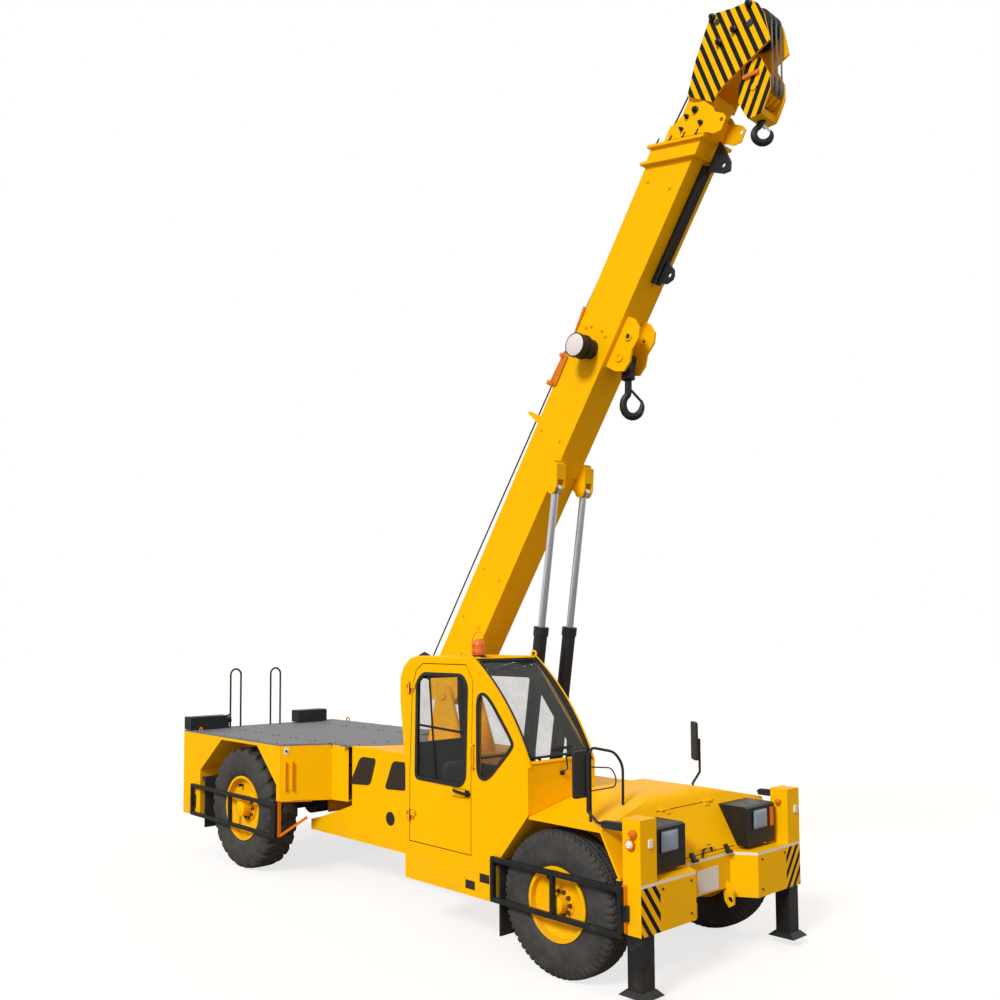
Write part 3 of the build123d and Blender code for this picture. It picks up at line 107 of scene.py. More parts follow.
class Finish:
    """One surface finish, built up as nodes and closed on its shader; owner may be the world instead."""

    def __init__(self, name, owner=None):
        self.material = owner or bpy.data.materials.new(name)
        self.material.use_nodes = True
        self.tree = self.material.node_tree
        self.tree.nodes.clear()
        places = self.tree.nodes.new("ShaderNodeTexCoord")
        self.where, self.facing = Val(self, places.outputs["Object"]), Val(self, places.outputs["Normal"])
        self.facing_x = self.node("ShaderNodeSeparateXYZ", {}, self.facing)
        self.x, self.y, self.z = (
            self.node("ShaderNodeSeparateXYZ", {}, self.where, out=axis) for axis in range(3)
        )

    def node(self, kind, settings, *values, out=0, **named):
        """Adds one node: its settings first, then the values or links of its sockets."""
        made = self.tree.nodes.new(kind)
        for key, value in settings.items():
            setattr(made, key, value)
        for key, value in [*enumerate(values), *named.items()]:
            if value is None:
                continue
            socket = made.inputs[key if isinstance(key, int) else key.replace("_", " ")]
            if isinstance(value, Val):
                self.tree.links.new(value.socket, socket)
            else:
                socket.default_value = value
        return Val(self, made.outputs[out])

    def noise(self, scale, detail=4.0, roughness=0.6, stretch=(1, 1, 1)):
        """Cloudy value from 0 to 1 on the object's own coordinates, drawn out along each axis."""
        at = self.where
        if stretch != (1, 1, 1):
            at = self.node("ShaderNodeMapping", {}, at, None, None, stretch)
        return self.node("ShaderNodeTexNoise", {}, at, None, scale, detail, roughness)

    def cells(self, scale):
        """Distance to the nearest crack between small cells, as in leather grain."""
        return self.node("ShaderNodeTexVoronoi", {"feature": "DISTANCE_TO_EDGE"}, self.where, None, scale)

    def mix(self, share, a, b):
        """Colour a where share is 0 and b where it is 1."""
        # between the share and the colours lie five sockets for numbers and vectors
        skipped = (None,) * 5
        return self.node("ShaderNodeMix", {"data_type": "RGBA"}, share, *skipped, a, b, out=2)

    def end(self, colour, rough=0.5, metal=0.0, height=None, depth=0.001, alpha=1.0, **fixed):
        """Ends the finish on its shader; the height's relief is depth metres deep."""
        normal = None
        if height is not None:
            normal = self.node("ShaderNodeBump", {}, Strength=1.0, Distance=depth, Height=height)
        shader = self.node(
            "ShaderNodeBsdfPrincipled", {}, Base_Color=colour, Roughness=rough, Metallic=metal,
            Alpha=alpha, Normal=normal, **fixed,
        )
        return self.close(shader)

    def close(self, shader, output="ShaderNodeOutputMaterial"):
        """Joins a shader to the output node and gives the material back."""
        out = self.tree.nodes.new(output)
        self.tree.links.new(shader.socket, out.inputs[0])
        return self.material


def srgb(red, green, blue):
    """A colour written as 0 to 255, as the linear colour that a shader takes."""
    parts = np.array([red, green, blue]) / 255.0
    linear = np.where(parts <= 0.04045, parts / 12.92, ((parts + 0.055) / 1.055) ** 2.4)
    return (*linear.tolist(), 1.0)


YELLOW = srgb(255, 197, 0)
YELLOW_WORN = srgb(250, 184, 2)
ROAD_DUST = srgb(150, 128, 96)
dust_floor, dust_top = 0.25, 0.9


def dusted(finish, colour, most=0.35):
    """Adds a patchy film of road dust that thins out with height."""
    patches = finish.noise(3.5, 6.0, 0.7).ramp(0.45, 0.75)
    low = finish.z.ramp(dust_floor, dust_top, 1.0, 0.0)
    return finish.mix(patches * low * most, colour, ROAD_DUST)


def painted(name, extra=None):
    """Yellow enamel; extra(finish, colour) lays stripes or other colours over it."""
    finish = Finish(name)
    cloud = finish.noise(1.3, 5.0, 0.65)
    colour = finish.mix(cloud.ramp(0.35, 0.75) * 0.35, YELLOW, YELLOW_WORN)
    if extra:
        colour = extra(finish, colour)
    peel = finish.noise(420.0, 2.0, 0.5)
    dents = finish.noise(2.2, 2.0, 0.5)
    rough = finish.noise(6.0, 4.0, 0.6).ramp(0.3, 0.7, 0.38, 0.50)
    return finish.end(
        dusted(finish, colour), rough, height=peel * 0.06 + dents, depth=0.0016, Specular_IOR_Level=0.07
    )


yellow_paint = painted("yellow_paint")

# ---- black paint, dark steel and moulded plastic
# Satin black on the guards, outrigger legs, cylinder barrels and lamp boxes, with paler scuffs
# where it is handled. Bare dark steel and moulded trim are worked in the same way.
BLACK = srgb(27, 30, 34)


def scuffed(name, tone=BLACK, scuff=srgb(74, 76, 78), rough=(0.34, 0.55), metal=0.0):
    """A flat finish whose tone gives way to its scuff colour in patches, with a fine grain."""
    finish = Finish(name)
    patch = finish.noise(9.0, 6.0, 0.7)
    colour = finish.mix(patch.ramp(0.55, 0.8) * 0.5, tone, scuff)
    grain = finish.noise(260.0, 3.0, 0.6)
    return finish.end(
        dusted(finish, colour, 0.08), patch.ramp(0.3, 0.7, *rough), metal,
        height=grain * 0.3 + patch * 0.4, depth=0.0008, Specular_IOR_Level=0.3,
    )


black_paint = scuffed("black_paint")
dark_steel = scuffed("dark_steel", srgb(58, 58, 60), srgb(110, 104, 96), (0.4, 0.65), 0.6)
lamp_case = scuffed("lamp_case", srgb(26, 27, 28), srgb(52, 54, 56), (0.35, 0.5))
trim_plastic = scuffed("trim_plastic", srgb(38, 39, 41), srgb(60, 61, 63), (0.45, 0.6))

# ---- deck paint
# Grey non-slip paint with grit in it, rolled on the flat steel cover plates. Boots rub it pale in
# patches, and dirt lies in the seams between the plates.
plate_seam_y, plate_seam_x, seam_half = 0.70, -2.62, 0.005


def grey_deck():
    """Grey film rubbed pale in patches, speckled with grit, and dark along the plates' seams."""
    finish = Finish("deck_paint")
    rubbed = finish.noise(2.6, 7.0, 0.7)
    grit = finish.noise(180.0, 3.0, 0.7)
    colour = finish.mix(rubbed.ramp(0.3, 0.7), srgb(104, 107, 114), srgb(126, 129, 136))
    colour = finish.mix(grit.ramp(0.62, 0.75) * 0.5, colour, srgb(84, 84, 86))
    seams = (finish.y.abs() - plate_seam_y).abs() < seam_half
    seams += (finish.x - plate_seam_x).abs() < seam_half
    colour = finish.mix(seams, colour, srgb(48, 48, 50))
    return finish.end(colour, rubbed.ramp(0.3, 0.7, 0.55, 0.75), height=grit, depth=0.0008)


deck_paint = grey_deck()

# ---- chromed rods and bright steel
# The lift rods are ground steel, hard-chromed, under a thin film of oil. Machined and zinc-plated
# small parts are duller and keep the lathe's marks.
def bright(name, tone, rough, ring=0.0):
    """Bright metal under a thin haze; ring is how strongly lathe marks show round it."""
    finish = Finish(name)
    haze = finish.noise(14.0, 4.0, 0.6, (1, 1, 0.15))
    colour = finish.mix(haze.ramp(0.35, 0.75) * 0.4, tone, srgb(150, 156, 166))
    lathe = finish.noise(300.0, 2.0, 0.5, (0.05, 0.05, 1.0))
    dull = haze.ramp(0.3, 0.7, rough, rough + 0.12)
    return finish.end(colour, dull, 0.9, height=lathe * ring, depth=0.0002)


chrome_rod = bright("chrome_rod", srgb(208, 214, 222), 0.14)
bright_steel = bright("bright_steel", srgb(186, 188, 190), 0.3, 1.0)

# ---- rubber
# Black moulded rubber, full of fine pores and greyed by dust: the tyres', and the flat sheet that
# the mud flaps are cut from.
def rubber(name, tone, dust=0.6):
    """Matt rubber with fine pores, bleached by dust in patches."""
    finish = Finish(name)
    bloom = finish.noise(7.0, 6.0, 0.7)
    pores = finish.noise(320.0, 3.0, 0.6)
    colour = finish.mix(bloom.ramp(0.35, 0.8) * dust, tone, srgb(92, 91, 88))
    return finish.end(colour, bloom.ramp(0.3, 0.7, 0.68, 0.86), height=pores * 0.4 + bloom, depth=0.0009)


tyre_rubber = rubber("tyre_rubber", srgb(42, 42, 43))
flap_rubber = rubber("flap_rubber", srgb(34, 34, 35), 0.3)

# ---- glass
# The cab's panes are toughened glass with a faint grey tint, held in rubber seals. Smears of dust
# dull them in patches.
def cab_pane():
    """Thin grey glass: mostly clear, a little less so where it is smeared."""
    finish = Finish("glass")
    smear = finish.noise(5.0, 5.0, 0.7)
    rough, cover = smear.ramp(0.4, 0.8, 0.03, 0.10), smear.ramp(0.35, 0.8, 0.20, 0.32)
    return finish.end(srgb(70, 78, 80), rough, alpha=cover, Specular_IOR_Level=0.7)


glass = cab_pane()

# ---- seat cover
# Grained black vinyl, embossed like leather. It is sewn to the shape of the seat's foam and drawn
# over it in soft folds.
def vinyl():
    """Two near-black tones in folds, with a leather grain over them."""
    finish = Finish("seat_cover")
    grain = finish.cells(520.0)
    fold = finish.noise(9.0, 4.0, 0.6)
    colour = finish.mix(fold.ramp(0.3, 0.75), srgb(38, 39, 42), srgb(58, 59, 62))
    creased = grain * 0.4 + fold * 2.0
    return finish.end(colour, fold.ramp(0.3, 0.7, 0.42, 0.6), height=creased, depth=0.0012)


seat_cover = vinyl()

# ---- lamp lenses
# Clear or amber plastic, moulded with level ribs that spread the bulb's light. A lens is screwed
# over the mouth of its cup.
def lens(name, tone, clear=1.0, glow=0.0, rib=0.0006):
    """A tinted lens with level ribs, rib metres deep, and a faint paler swirl."""
    finish = Finish(name)
    swirl = finish.noise(30.0, 2.0, 0.5)
    colour = finish.mix(swirl.ramp(0.3, 0.7) * 0.06, tone, srgb(255, 220, 170))
    return finish.end(
        colour, 0.12, height=(finish.z * 260.0).wave(), depth=rib, alpha=clear,
        Emission_Color=tone, Emission_Strength=glow,
    )


amber = lens("amber", srgb(236, 108, 0))

# ---- paint on the imported solids
# Every solid takes the finish that its slot names. The cab's sheet is also darkened on its
# inner side: painted shade, standing in for the shade inside the cab.
by_slot = {
    "yellow_paint": yellow_paint, "deck_paint": deck_paint, "black_paint": black_paint,
    "dark_steel": dark_steel, "chrome_rod": chrome_rod, "tyre_rubber": tyre_rubber,
    "flap_rubber": flap_rubber, "glass": glass, "lamp_case": lamp_case, "seat_cover": seat_cover,
    "trim_plastic": trim_plastic, "amber": amber, "bright_steel": bright_steel,
}


def box_of(name):
    """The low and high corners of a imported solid's box."""
    return tuple(np.array(corner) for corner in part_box(name))


cab_low, cab_high = box_of("cab_shell")
cab_middle = tuple(((cab_low + cab_high) / 2).tolist())


def painted_cab_shade(finish, colour):
    """Paints shade on the cab's inner faces: those whose normal points back towards the cab's middle."""
    outward = finish.node("ShaderNodeVectorMath", {"operation": "SUBTRACT"}, finish.where, cab_middle)
    facing = finish.node(
        "ShaderNodeVectorMath", {"operation": "DOT_PRODUCT"}, finish.facing, outward, out=1
    )
    # painted shade: a dark brown stands in for the shade that falls inside the cab
    return finish.mix(facing < 0.0, colour, srgb(42, 38, 34))


# the cab's enamel, with painted shade on its inner faces
cab_paint_and_shade = painted("cab_paint_and_shade", painted_cab_shade)
for node in nodes.values():
    for place, old in enumerate(node.data.materials):
        node.data.materials[place] = by_slot[old.name.split(".")[0]]
for name in ("cab_shell", "cab_door"):
    nodes[name].data.materials[0] = cab_paint_and_shade

# ---- tyres
# Radial truck tyres in front, with five zigzag ribs and cut shoulders, and wide earthmover tyres
# behind with deep offset lugs. Each is one moulded casing seated on its rim.
def grid_faces(rows, columns, rows_close=False, columns_close=True):
    """Quads of a grid of points; where a direction closes, its last line joins its first."""
    row = np.arange(rows if rows_close else rows - 1)[:, None]
    column = np.arange(columns if columns_close else columns - 1)[None, :]
    next_row, next_column = (row + 1) % rows, (column + 1) % columns
    corners = np.broadcast_arrays(
        row * columns + column, row * columns + next_column,
        next_row * columns + next_column, next_row * columns + column,
    )
    return np.stack(corners, -1).reshape(-1, 4)


def put(name, shapes, material, body, smooth=35.0, bevel=0.0):
    """Joins (points, faces) shapes into one piece, faces outward, and seats it on its body."""
    points, faces, count = [], [], 0
    for shape_points, shape_faces in shapes:
        shape_points = np.asarray(shape_points, float).reshape(-1, 3)
        points.append(shape_points)
        faces += [tuple(int(i) + count for i in face) for face in shape_faces]
        count += len(shape_points)
    mesh = bpy.data.meshes.new(name)
    mesh.from_pydata(np.concatenate(points).tolist(), [], faces)
    worked = bmesh.new()
    worked.from_mesh(mesh)
    bmesh.ops.remove_doubles(worked, verts=worked.verts, dist=2e-5)
    bmesh.ops.recalc_face_normals(worked, faces=worked.faces)
    worked.to_mesh(mesh)
    worked.free()
    mesh.shade_smooth()
    mesh.set_sharp_from_angle(angle=radians(smooth))
    mesh.materials.append(material)
    piece = bpy.data.objects.new(name, mesh)
    bpy.context.scene.collection.objects.link(piece)
    if bevel:
        edge = piece.modifiers.new("edge", "BEVEL")
        edge.width, edge.segments, edge.limit_method = bevel, 2, "ANGLE"
        edge.harden_normals = True
    if body:
        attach(piece, body)
    return piece


def smooth_step(value, low, high):
    """0 below low and 1 above high, with an eased run between."""
    share = np.clip((value - low) / (high - low), 0.0, 1.0)
    return share * share * (3 - 2 * share)


def rib_tread(angle, across, height):
    """Depth cut by four zigzag grooves, which swing with the angle, and by notches at both shoulders."""
    pitch = angle * 60 / (2 * pi)
    swing = 0.05 * np.abs(pitch % 1.0 * 2 - 1) - 0.025
    middles = (-0.5, -0.18, 0.18, 0.5)
    grooves = sum(1 - smooth_step(np.abs(across + swing - middle), 0.03, 0.055) for middle in middles)
    notch = 1 - smooth_step(np.abs(pitch % 1.0 - 0.5), 0.18, 0.26)
    shoulder = smooth_step(np.abs(across), 0.66, 0.70) * smooth_step(height, 0.76, 0.80)
    sipes = 1 - smooth_step(np.abs(pitch * 2 % 1.0 - 0.5), 0.10, 0.22)
    inner = (np.abs(across) < 0.66) * 0.35
    cut = np.clip(grooves, 0, 1) * 0.015 * (height > 0.9)
    return cut + notch * shoulder * 0.017 + sipes * inner * 0.016


def lug_tread(angle, across, height):
    """Depth between lugs: bars slanting back from a narrow centre rib, half a pitch apart on its sides."""
    pitch = angle * 24 / (2 * pi) + 0.5 * (across > 0) + 0.55 * np.abs(across)
    gap = 1 - smooth_step(np.abs(pitch % 1.0 - 0.5), 0.13, 0.22)
    reach = smooth_step(np.abs(across), 0.08, 0.16) * smooth_step(height, 0.62, 0.74)
    return gap * reach * 0.030


casing = np.array([
    (-0.76, 0.0), (-0.84, 0.05), (-0.93, 0.16), (-0.985, 0.32), (-1.0, 0.5), (-0.985, 0.66), (-0.95, 0.80),
    (-0.89, 0.90), (-0.80, 0.958), (-0.5, 0.99), (0.0, 1.0),
])
casing = np.concatenate([casing, casing[-2::-1] * (-1, 1)])
for axle, hand, tread, columns, rows in (
    ("front", "right", rib_tread, 480, 60), ("front", "left", rib_tread, 480, 60),
    ("rear", "right", lug_tread, 384, 44), ("rear", "left", lug_tread, 384, 44),
):
    low, high = box_of(f"tyre_{axle}_{hand}")
    hub, radius, half = (low + high) / 2, (high[2] - low[2]) / 2, (high[1] - low[1]) / 2
    rim_low, rim_high = box_of(f"rim_{axle}_{hand}")
    bead = (rim_high[2] - rim_low[2]) / 2
    # rows lie close together across the tread and further apart down the sidewalls
    spans = (0, 0.34, 16), (0.36, 0.64, rows), (0.66, 1, 16)
    reach = np.concatenate([np.linspace(*span) for span in spans])
    run = np.concatenate([[0], np.cumsum(np.hypot(*np.diff(casing * (half, radius - bead), axis=0).T))])
    across = np.interp(reach * run[-1], run, casing[:, 0])[:, None]
    height = np.interp(reach * run[-1], run, casing[:, 1])[:, None]
    angle = np.linspace(0, 2 * pi, columns, endpoint=False)[None, :]
    # two soft rings run round each sidewall, under the shoulder and above the rim
    shoulder_ring = 0.004 * np.exp(-(((height - 0.62) / 0.02) ** 2))
    rim_ring = 0.005 * np.exp(-(((height - 0.14) / 0.03) ** 2))
    out_y = across * (half - 0.006) + np.sign(across) * (shoulder_ring + rim_ring) + 0 * angle
    out_r = bead + height * (radius - bead) - tread(angle, across, height)
    out_x, out_z = out_r * np.cos(angle), out_r * np.sin(angle)
    points = np.stack([hub[0] + out_x, hub[1] + out_y, hub[2] + out_z], -1)
    tyre = put(
        f"{axle}_tyre_{hand}", [(points, grid_faces(len(reach), columns, True))], tyre_rubber,
        f"wheel_{axle}_{hand}", 50.0,
    )
    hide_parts(f"tyre_{axle}_{hand}")

# ---- wheel nuts, hub caps and valves
# Each rim is pressed steel, held by a ring of nuts round a turned hub cap, with a black-capped
# valve in its dish.
def turned(profile, at, axis, steps=24):
    """A profile of (radius, height) turned about an axis: centre + height along it + radius round it."""
    profile, at, axis = np.array(profile, float), np.array(at, float), np.array(axis, float)
    axis = axis / np.linalg.norm(axis)
    side = np.cross(axis, (0.3, 0.2, 1.0) if abs(axis[2]) < 0.8 else (1.0, 0.2, 0.1))
    side /= np.linalg.norm(side)
    angle = np.linspace(0, 2 * pi, steps, endpoint=False)
    spoke = np.cos(angle)[:, None] * side + np.sin(angle)[:, None] * np.cross(axis, side)
    points = at + profile[:, None, 1:] * axis + profile[:, None, :1] * spoke
    return points.reshape(-1, 3), grid_faces(len(profile), steps)


def bolt(at, axis, radius=0.012, high=0.010, steps=6):
    """A bolt or nut head: a six-sided post with a domed end, its foot sunk a little in the plate."""
    side = [(0, -0.004), (radius, -0.004), (radius, high * 0.75), (radius * 0.8, high), (0, high)]
    return turned(side, at, axis, steps)


def circle_of(count, at, axis, radius, turn=0.0):
    """Places evenly round an axis at one radius."""
    at, axis = np.array(at, float), np.array(axis, float)
    side = np.cross(axis, (0.0, 0.0, 1.0) if abs(axis[2]) < 0.8 else (1.0, 0.0, 0.0))
    side /= np.linalg.norm(side)
    angle = np.linspace(0, 2 * pi, count, endpoint=False) + turn
    return at + radius * (np.cos(angle)[:, None] * side + np.sin(angle)[:, None] * np.cross(axis, side))


rust_steel = scuffed("rust_steel", srgb(96, 66, 40), srgb(150, 120, 90), (0.5, 0.7), 0.4)
for axle in ("front", "rear"):
    for hand, side in (("right", -1), ("left", 1)):
        low, high = box_of(f"rim_{axle}_{hand}")
        tyre_low, tyre_high = box_of(f"tyre_{axle}_{hand}")
        hub, rim_r, width = (tyre_low + tyre_high) / 2, (high[2] - low[2]) / 2, tyre_high[1] - tyre_low[1]
        out = np.array((0.0, side, 0.0))
        face = hub + out * 0.46 * width
        dish = hub + out * 0.2 * width
        cap_r = 0.25 * rim_r
        cap = [
            (0, -0.004), (cap_r * 0.98, -0.004), (cap_r * 1.02, 0.004), (cap_r * 0.9, 0.010),
            (cap_r * 0.55, 0.012), (cap_r * 0.5, 0.016), (0, 0.016),
        ]
        wheel = f"wheel_{axle}_{hand}"
        put(f"hub_cap_{axle}_{hand}", [turned(cap, face, out, 32)], yellow_paint, wheel)
        nuts = [bolt(at, out, 0.018, 0.03) for at in circle_of(10, dish, out, 0.33 * rim_r)]
        nuts += [bolt(at, out, 0.008, 0.008) for at in circle_of(6, face, out, cap_r * 0.75)]
        put(f"wheel_nuts_{axle}_{hand}", nuts, rust_steel, wheel)
        at = circle_of(1, hub + out * 0.235 * width, out, 0.74 * rim_r, -1.1)[0]
        valve = [(0, -0.03), (0.016, -0.03), (0.016, 0.02), (0.02, 0.024), (0.02, 0.04), (0, 0.042)]
        put(f"tyre_valve_{axle}_{hand}", [turned(valve, at, out, 12)], lamp_case, wheel)

# ---- bumper finish
# The bumper is folded plate in the same enamel, with a white line along its top edge and black
# hazard bands at both ends; a plain blank plate sits in its recess.
front = float(box_of("bumper")[1][0])


def behind(distance):
    """X at a distance in millimetres behind the bumper's front face."""
    return front - distance / 1000


def hazard_front(finish, colour):
    """Bands where 0.79 |y| - 0.61 z, wrapped at the pitch, is under half of it, on the two end fields."""
    out = finish.y.abs()
    band = (out * 0.791 - finish.z * 0.611).wrap(0.088) < 0.042
    field = (out > 0.985) * (finish.facing_x > 0.9) * (finish.x > front - 0.02) * (finish.z < 0.928)
    colour = finish.mix(band * field, colour, srgb(26, 26, 27))
    line = (finish.z > 0.926) * (finish.z < 0.951) * (finish.x > front - 0.215) * (finish.facing_x > 0.4)
    return finish.mix(line, colour, srgb(235, 234, 230))


bumper_paint = painted("bumper_paint", hazard_front)
nodes["bumper"].data.materials[0] = bumper_paint


def plate(outline, at, across, up, thick):
    """A flat plate: its outline in the (across, up) plane at a place, and again thick along their cross."""
    outline, across, up = np.array(outline, float), np.array(across, float), np.array(up, float)
    flat = np.array(at, float) + outline[:, :1] * across + outline[:, 1:] * up
    deep = np.cross(across, up) * thick
    count = len(outline)
    faces = [*map(tuple, grid_faces(2, count)), tuple(range(count)), tuple(range(count, 2 * count))]
    return np.concatenate([flat, flat + deep]), faces


def eased(corners, radius, steps=5, closed=True):
    """Corners rounded off: each becomes a parabola that starts and ends one radius from it."""
    corners = np.array(corners, float)
    before, after = np.roll(corners, 1, 0) - corners, np.roll(corners, -1, 0) - corners
    arms = [
        arm * np.minimum(radius / np.linalg.norm(arm, axis=1), 0.48)[:, None] for arm in (before, after)
    ]
    start, stop = (corners + arms[0])[:, None], (corners + arms[1])[:, None]
    t = np.linspace(0, 1, steps)[None, :, None]
    curve = start * (1 - t) ** 2 + corners[:, None] * 2 * t * (1 - t) + stop * t**2
    run = curve.reshape(-1, corners.shape[1])
    return run if closed else np.concatenate([corners[:1], run[steps:-steps], corners[-1:]])


def carried(path, section, up=None, closed=False):
    """A section carried along a path: point + section across + section up, square to the path there."""
    path, section = np.array(path, float), np.array(section, float)
    ahead = np.roll(path, -1, 0) - np.roll(path, 1, 0)
    if not closed:
        ahead[0], ahead[-1] = path[1] - path[0], path[-1] - path[-2]
    ahead /= np.linalg.norm(ahead, axis=1)[:, None]
    if up is None:
        up = np.linalg.svd(path - path.mean(0))[2][-1]
    side = np.cross(ahead, np.broadcast_to(up, path.shape))
    side /= np.linalg.norm(side, axis=1)[:, None]
    rise = np.cross(side, ahead)
    points = path[:, None] + side[:, None] * section[None, :, :1] + rise[:, None] * section[None, :, 1:]
    count = len(section)
    faces = [*map(tuple, grid_faces(len(path), count, closed))]
    if not closed:
        faces += [tuple(range(count)), tuple(range((len(path) - 1) * count, len(path) * count))]
    return points.reshape(-1, 3), faces


def round_section(radius, sides=10, flat=1.0):
    """A round or oval section of this radius."""
    angle = np.linspace(0, 2 * pi, sides, endpoint=False)
    return np.stack([radius * np.cos(angle), radius * flat * np.sin(angle)], -1)


def box_section(wide, tall):
    """A square-edged section about the path, wide by tall."""
    return np.array([(-wide, -tall), (wide, -tall), (wide, tall), (-wide, tall)]) / 2


ahead, leftward, upward = (1, 0, 0), (0, 1, 0), (0, 0, 1)


def rounded_panel(wide, tall, radius):
    """A rectangle's outline about its middle, wide by tall, with its corners eased off."""
    return eased(np.array([(-wide, -tall), (wide, -tall), (wide, tall), (-wide, tall)]) / 2, radius)


plate_white = scuffed("plate_white", srgb(232, 230, 234), srgb(170, 168, 166), (0.35, 0.55))
blank = plate(rounded_panel(0.32, 0.204, 0.01), (behind(201), 0, 0.757), leftward, upward, 0.006)
put("light_plate", [blank], plate_white, "front_frame", bevel=0.002)
bolt_places = ((0.56, 0.885), (0.955, 0.885), (0.56, 0.62))
bolts = [bolt((front, side * y, z), ahead, 0.011, 0.008) for side in (-1, 1) for y, z in bolt_places]
put("bumper_bolts", bolts, lamp_case, "front_frame")

# ---- front lamps
# Square headlamps in black boxes, small white markers on the post fronts, and round amber and
# clear turn lamps on short cups beside them.
def slab_faces(rows, columns):
    """Faces of two equal grids of points, one behind the other, closed round their rim."""
    quads, count = grid_faces(rows, columns, False, False), rows * columns
    first, last = np.arange(columns), (rows - 1) * columns
    right, left = columns * np.arange(1, rows) + columns - 1, columns * np.arange(rows - 2, 0, -1)
    rim = np.concatenate([first, right, last + first[-2::-1], left])
    sides = np.stack([rim, np.roll(rim, -1), np.roll(rim, -1) + count, rim + count], -1)
    return [*map(tuple, np.concatenate([quads, quads + count, sides]))]


amber_case = scuffed("amber_case", srgb(214, 118, 18), srgb(240, 150, 40), (0.3, 0.45))
lamp_white = lens("lamp_white", srgb(236, 234, 230), 1.0, 0.05)
headlamp_glass = lens("headlamp_glass", srgb(146, 172, 204), 0.95, 0.0, 0.0)
lamp_y, lamp_z, pane_rows, pane_columns = 0.710, 1.215, 21, 25
bezel = rounded_panel(0.256, 0.180, 0.022)
across, rise = np.meshgrid(np.linspace(-1, 1, pane_columns), np.linspace(-1, 1, pane_rows))
swell = 0.012 * (1 - across**4) * (1 - rise**4)
marker = rounded_panel(0.056, 0.068, 0.01)
for hand, side in (("right", -1), ("left", 1)):
    middle_y = side * lamp_y
    ring = np.stack([np.full(len(bezel), behind(97)), middle_y + bezel[:, 0], lamp_z + bezel[:, 1]], -1)
    rim = carried(ring, box_section(0.010, 0.012), ahead, True)
    put(f"headlamp_bezel_{hand}", [rim], lamp_case, "front_frame", bevel=0.002)
    # the pane is domed forward, and flat behind
    pane = np.stack([behind(98) + swell, middle_y + across * 0.126, lamp_z + rise * 0.088], -1)
    pane = pane.reshape(-1, 3)
    back = pane * (0, 1, 1) + (behind(101), 0, 0)
    shape = np.concatenate([pane, back]), slab_faces(pane_rows, pane_columns)
    put(f"headlamp_glass_{hand}", [shape], headlamp_glass, "front_frame", 60)
    marker_y = side * 1.14 + 0.025
    small = plate(marker, (front, marker_y, 1.26), leftward, upward, 0.012)
    put(f"post_marker_{hand}", [small], lamp_white, "front_frame", bevel=0.003)
rightward = (0, -1, 0)
clear_at = (behind(85), -1.24, 1.262)
amber_at = (behind(60), -1.24, 1.345)
far_at = (behind(85), 1.028, 1.335)
cups = []
for at, share in ((clear_at, 1.0), (amber_at, 0.8), (far_at, 0.6)):
    cup_side = [(0, 0), (0.040 * share, 0), (0.042 * share, 0.03), (0.038 * share, 0.032), (0, 0.032)]
    cups.append(turned(cup_side, at, rightward))
put("turn_lamp_cups", cups, amber_case, "front_frame")
clear_dome = turned([(0, 0.03), (0.034, 0.03), (0.026, 0.044), (0, 0.048)], clear_at, rightward)
put("turn_lamp_lenses", [clear_dome], lamp_white, "front_frame")
side_lamp = [(-0.018, -0.085), (0.018, -0.085), (0.018, 0.085), (-0.018, 0.085)]
amber_lamps = [
    turned([(0, 0.03), (0.027, 0.03), (0.02, 0.042), (0, 0.046)], amber_at, rightward),
    turned([(0, 0.03), (0.020, 0.03), (0.015, 0.038), (0, 0.042)], far_at, rightward),
    plate(side_lamp, (behind(100), 0.90, lamp_z), leftward, upward, 0.018),
]
put("turn_lamp_amber", amber_lamps, amber, "front_frame")

# ---- front handrail and hood latches
# A bent black tube stands on the cowl beside the cab as a handhold, and two black toggle latches
# and a pull hold the lid.
rail_x = behind(600)
rail_path = [(-1.11, 1.31), (-1.11, 1.965), (-0.783, 1.90), (-0.668, 1.779), (-0.674, 1.36)]
loop_path = [(-1.11, 1.80), (-0.827, 1.768), (-0.760, 1.676), (-0.775, 1.601), (-1.11, 1.60)]
rail = eased([(rail_x, y, z) for y, z in rail_path], 0.07, 7, False)
loop = eased([(rail_x, y, z) for y, z in loop_path], 0.05, 6, False)
rails = [carried(rail, round_section(0.012), ahead), carried(loop, round_section(0.006, 8), ahead)]
put("front_handrail", rails, black_paint, "front_frame", 50)
lid_down, lid_out = np.array((0.4741, 0, -0.8805)), np.array((0.8805, 0, 0.4741))


def on_lid(lift, y, down):
    """A place on the sloping lid: so far down from its hinge, so far off its face, and across at y."""
    return np.array((behind(438), y, 1.417)) + down * lid_down + lift * lid_out


pull_places = ((0, -0.092, 0.515), (0.03, -0.075, 0.455), (0.03, 0.062, 0.425), (0, 0.085, 0.485))
pull = eased([on_lid(*place) for place in pull_places], 0.035, 6, False)
handle = carried(pull, round_section(0.011, 10, 0.7), (0.88, 0, 0.47))
put("hood_pull", [handle], lamp_case, "hood", 50)
tongue = eased([(-0.03, 0), (0.03, 0), (0.022, 0.085), (-0.022, 0.085)], 0.012)
toggles = []
for y in (-0.235, 0.30):
    toggles.append(plate(tongue, on_lid(0.0, y, 0.538), leftward, -lid_down, 0.022))
    barrel = [(0, -0.034), (0.014, -0.034), (0.014, 0.034), (0, 0.034)]
    toggles.append(turned(barrel, on_lid(0.024, y, 0.528), leftward, 12))
put("hood_toggles", toggles, lamp_case, "front_frame", 40, 0.003)

# ---- curved windscreen
# The screen bows forward of the cab's sloping front: two bent pillars with sheet cheeks, a rubber
# seal round the opening and one bent pane of laminated glass.
top_edge, foot_edge = np.array((behind(1928), 2.700)), np.array((behind(1190), 1.745))
slope = foot_edge - top_edge
screen_len = float(np.hypot(*slope))
slope /= screen_len
square = np.array((-slope[1], slope[0]))
screen_out = np.array((square[0], 0, square[1]))
bow = 0.082
right_y, left_y = -1.24, -0.325


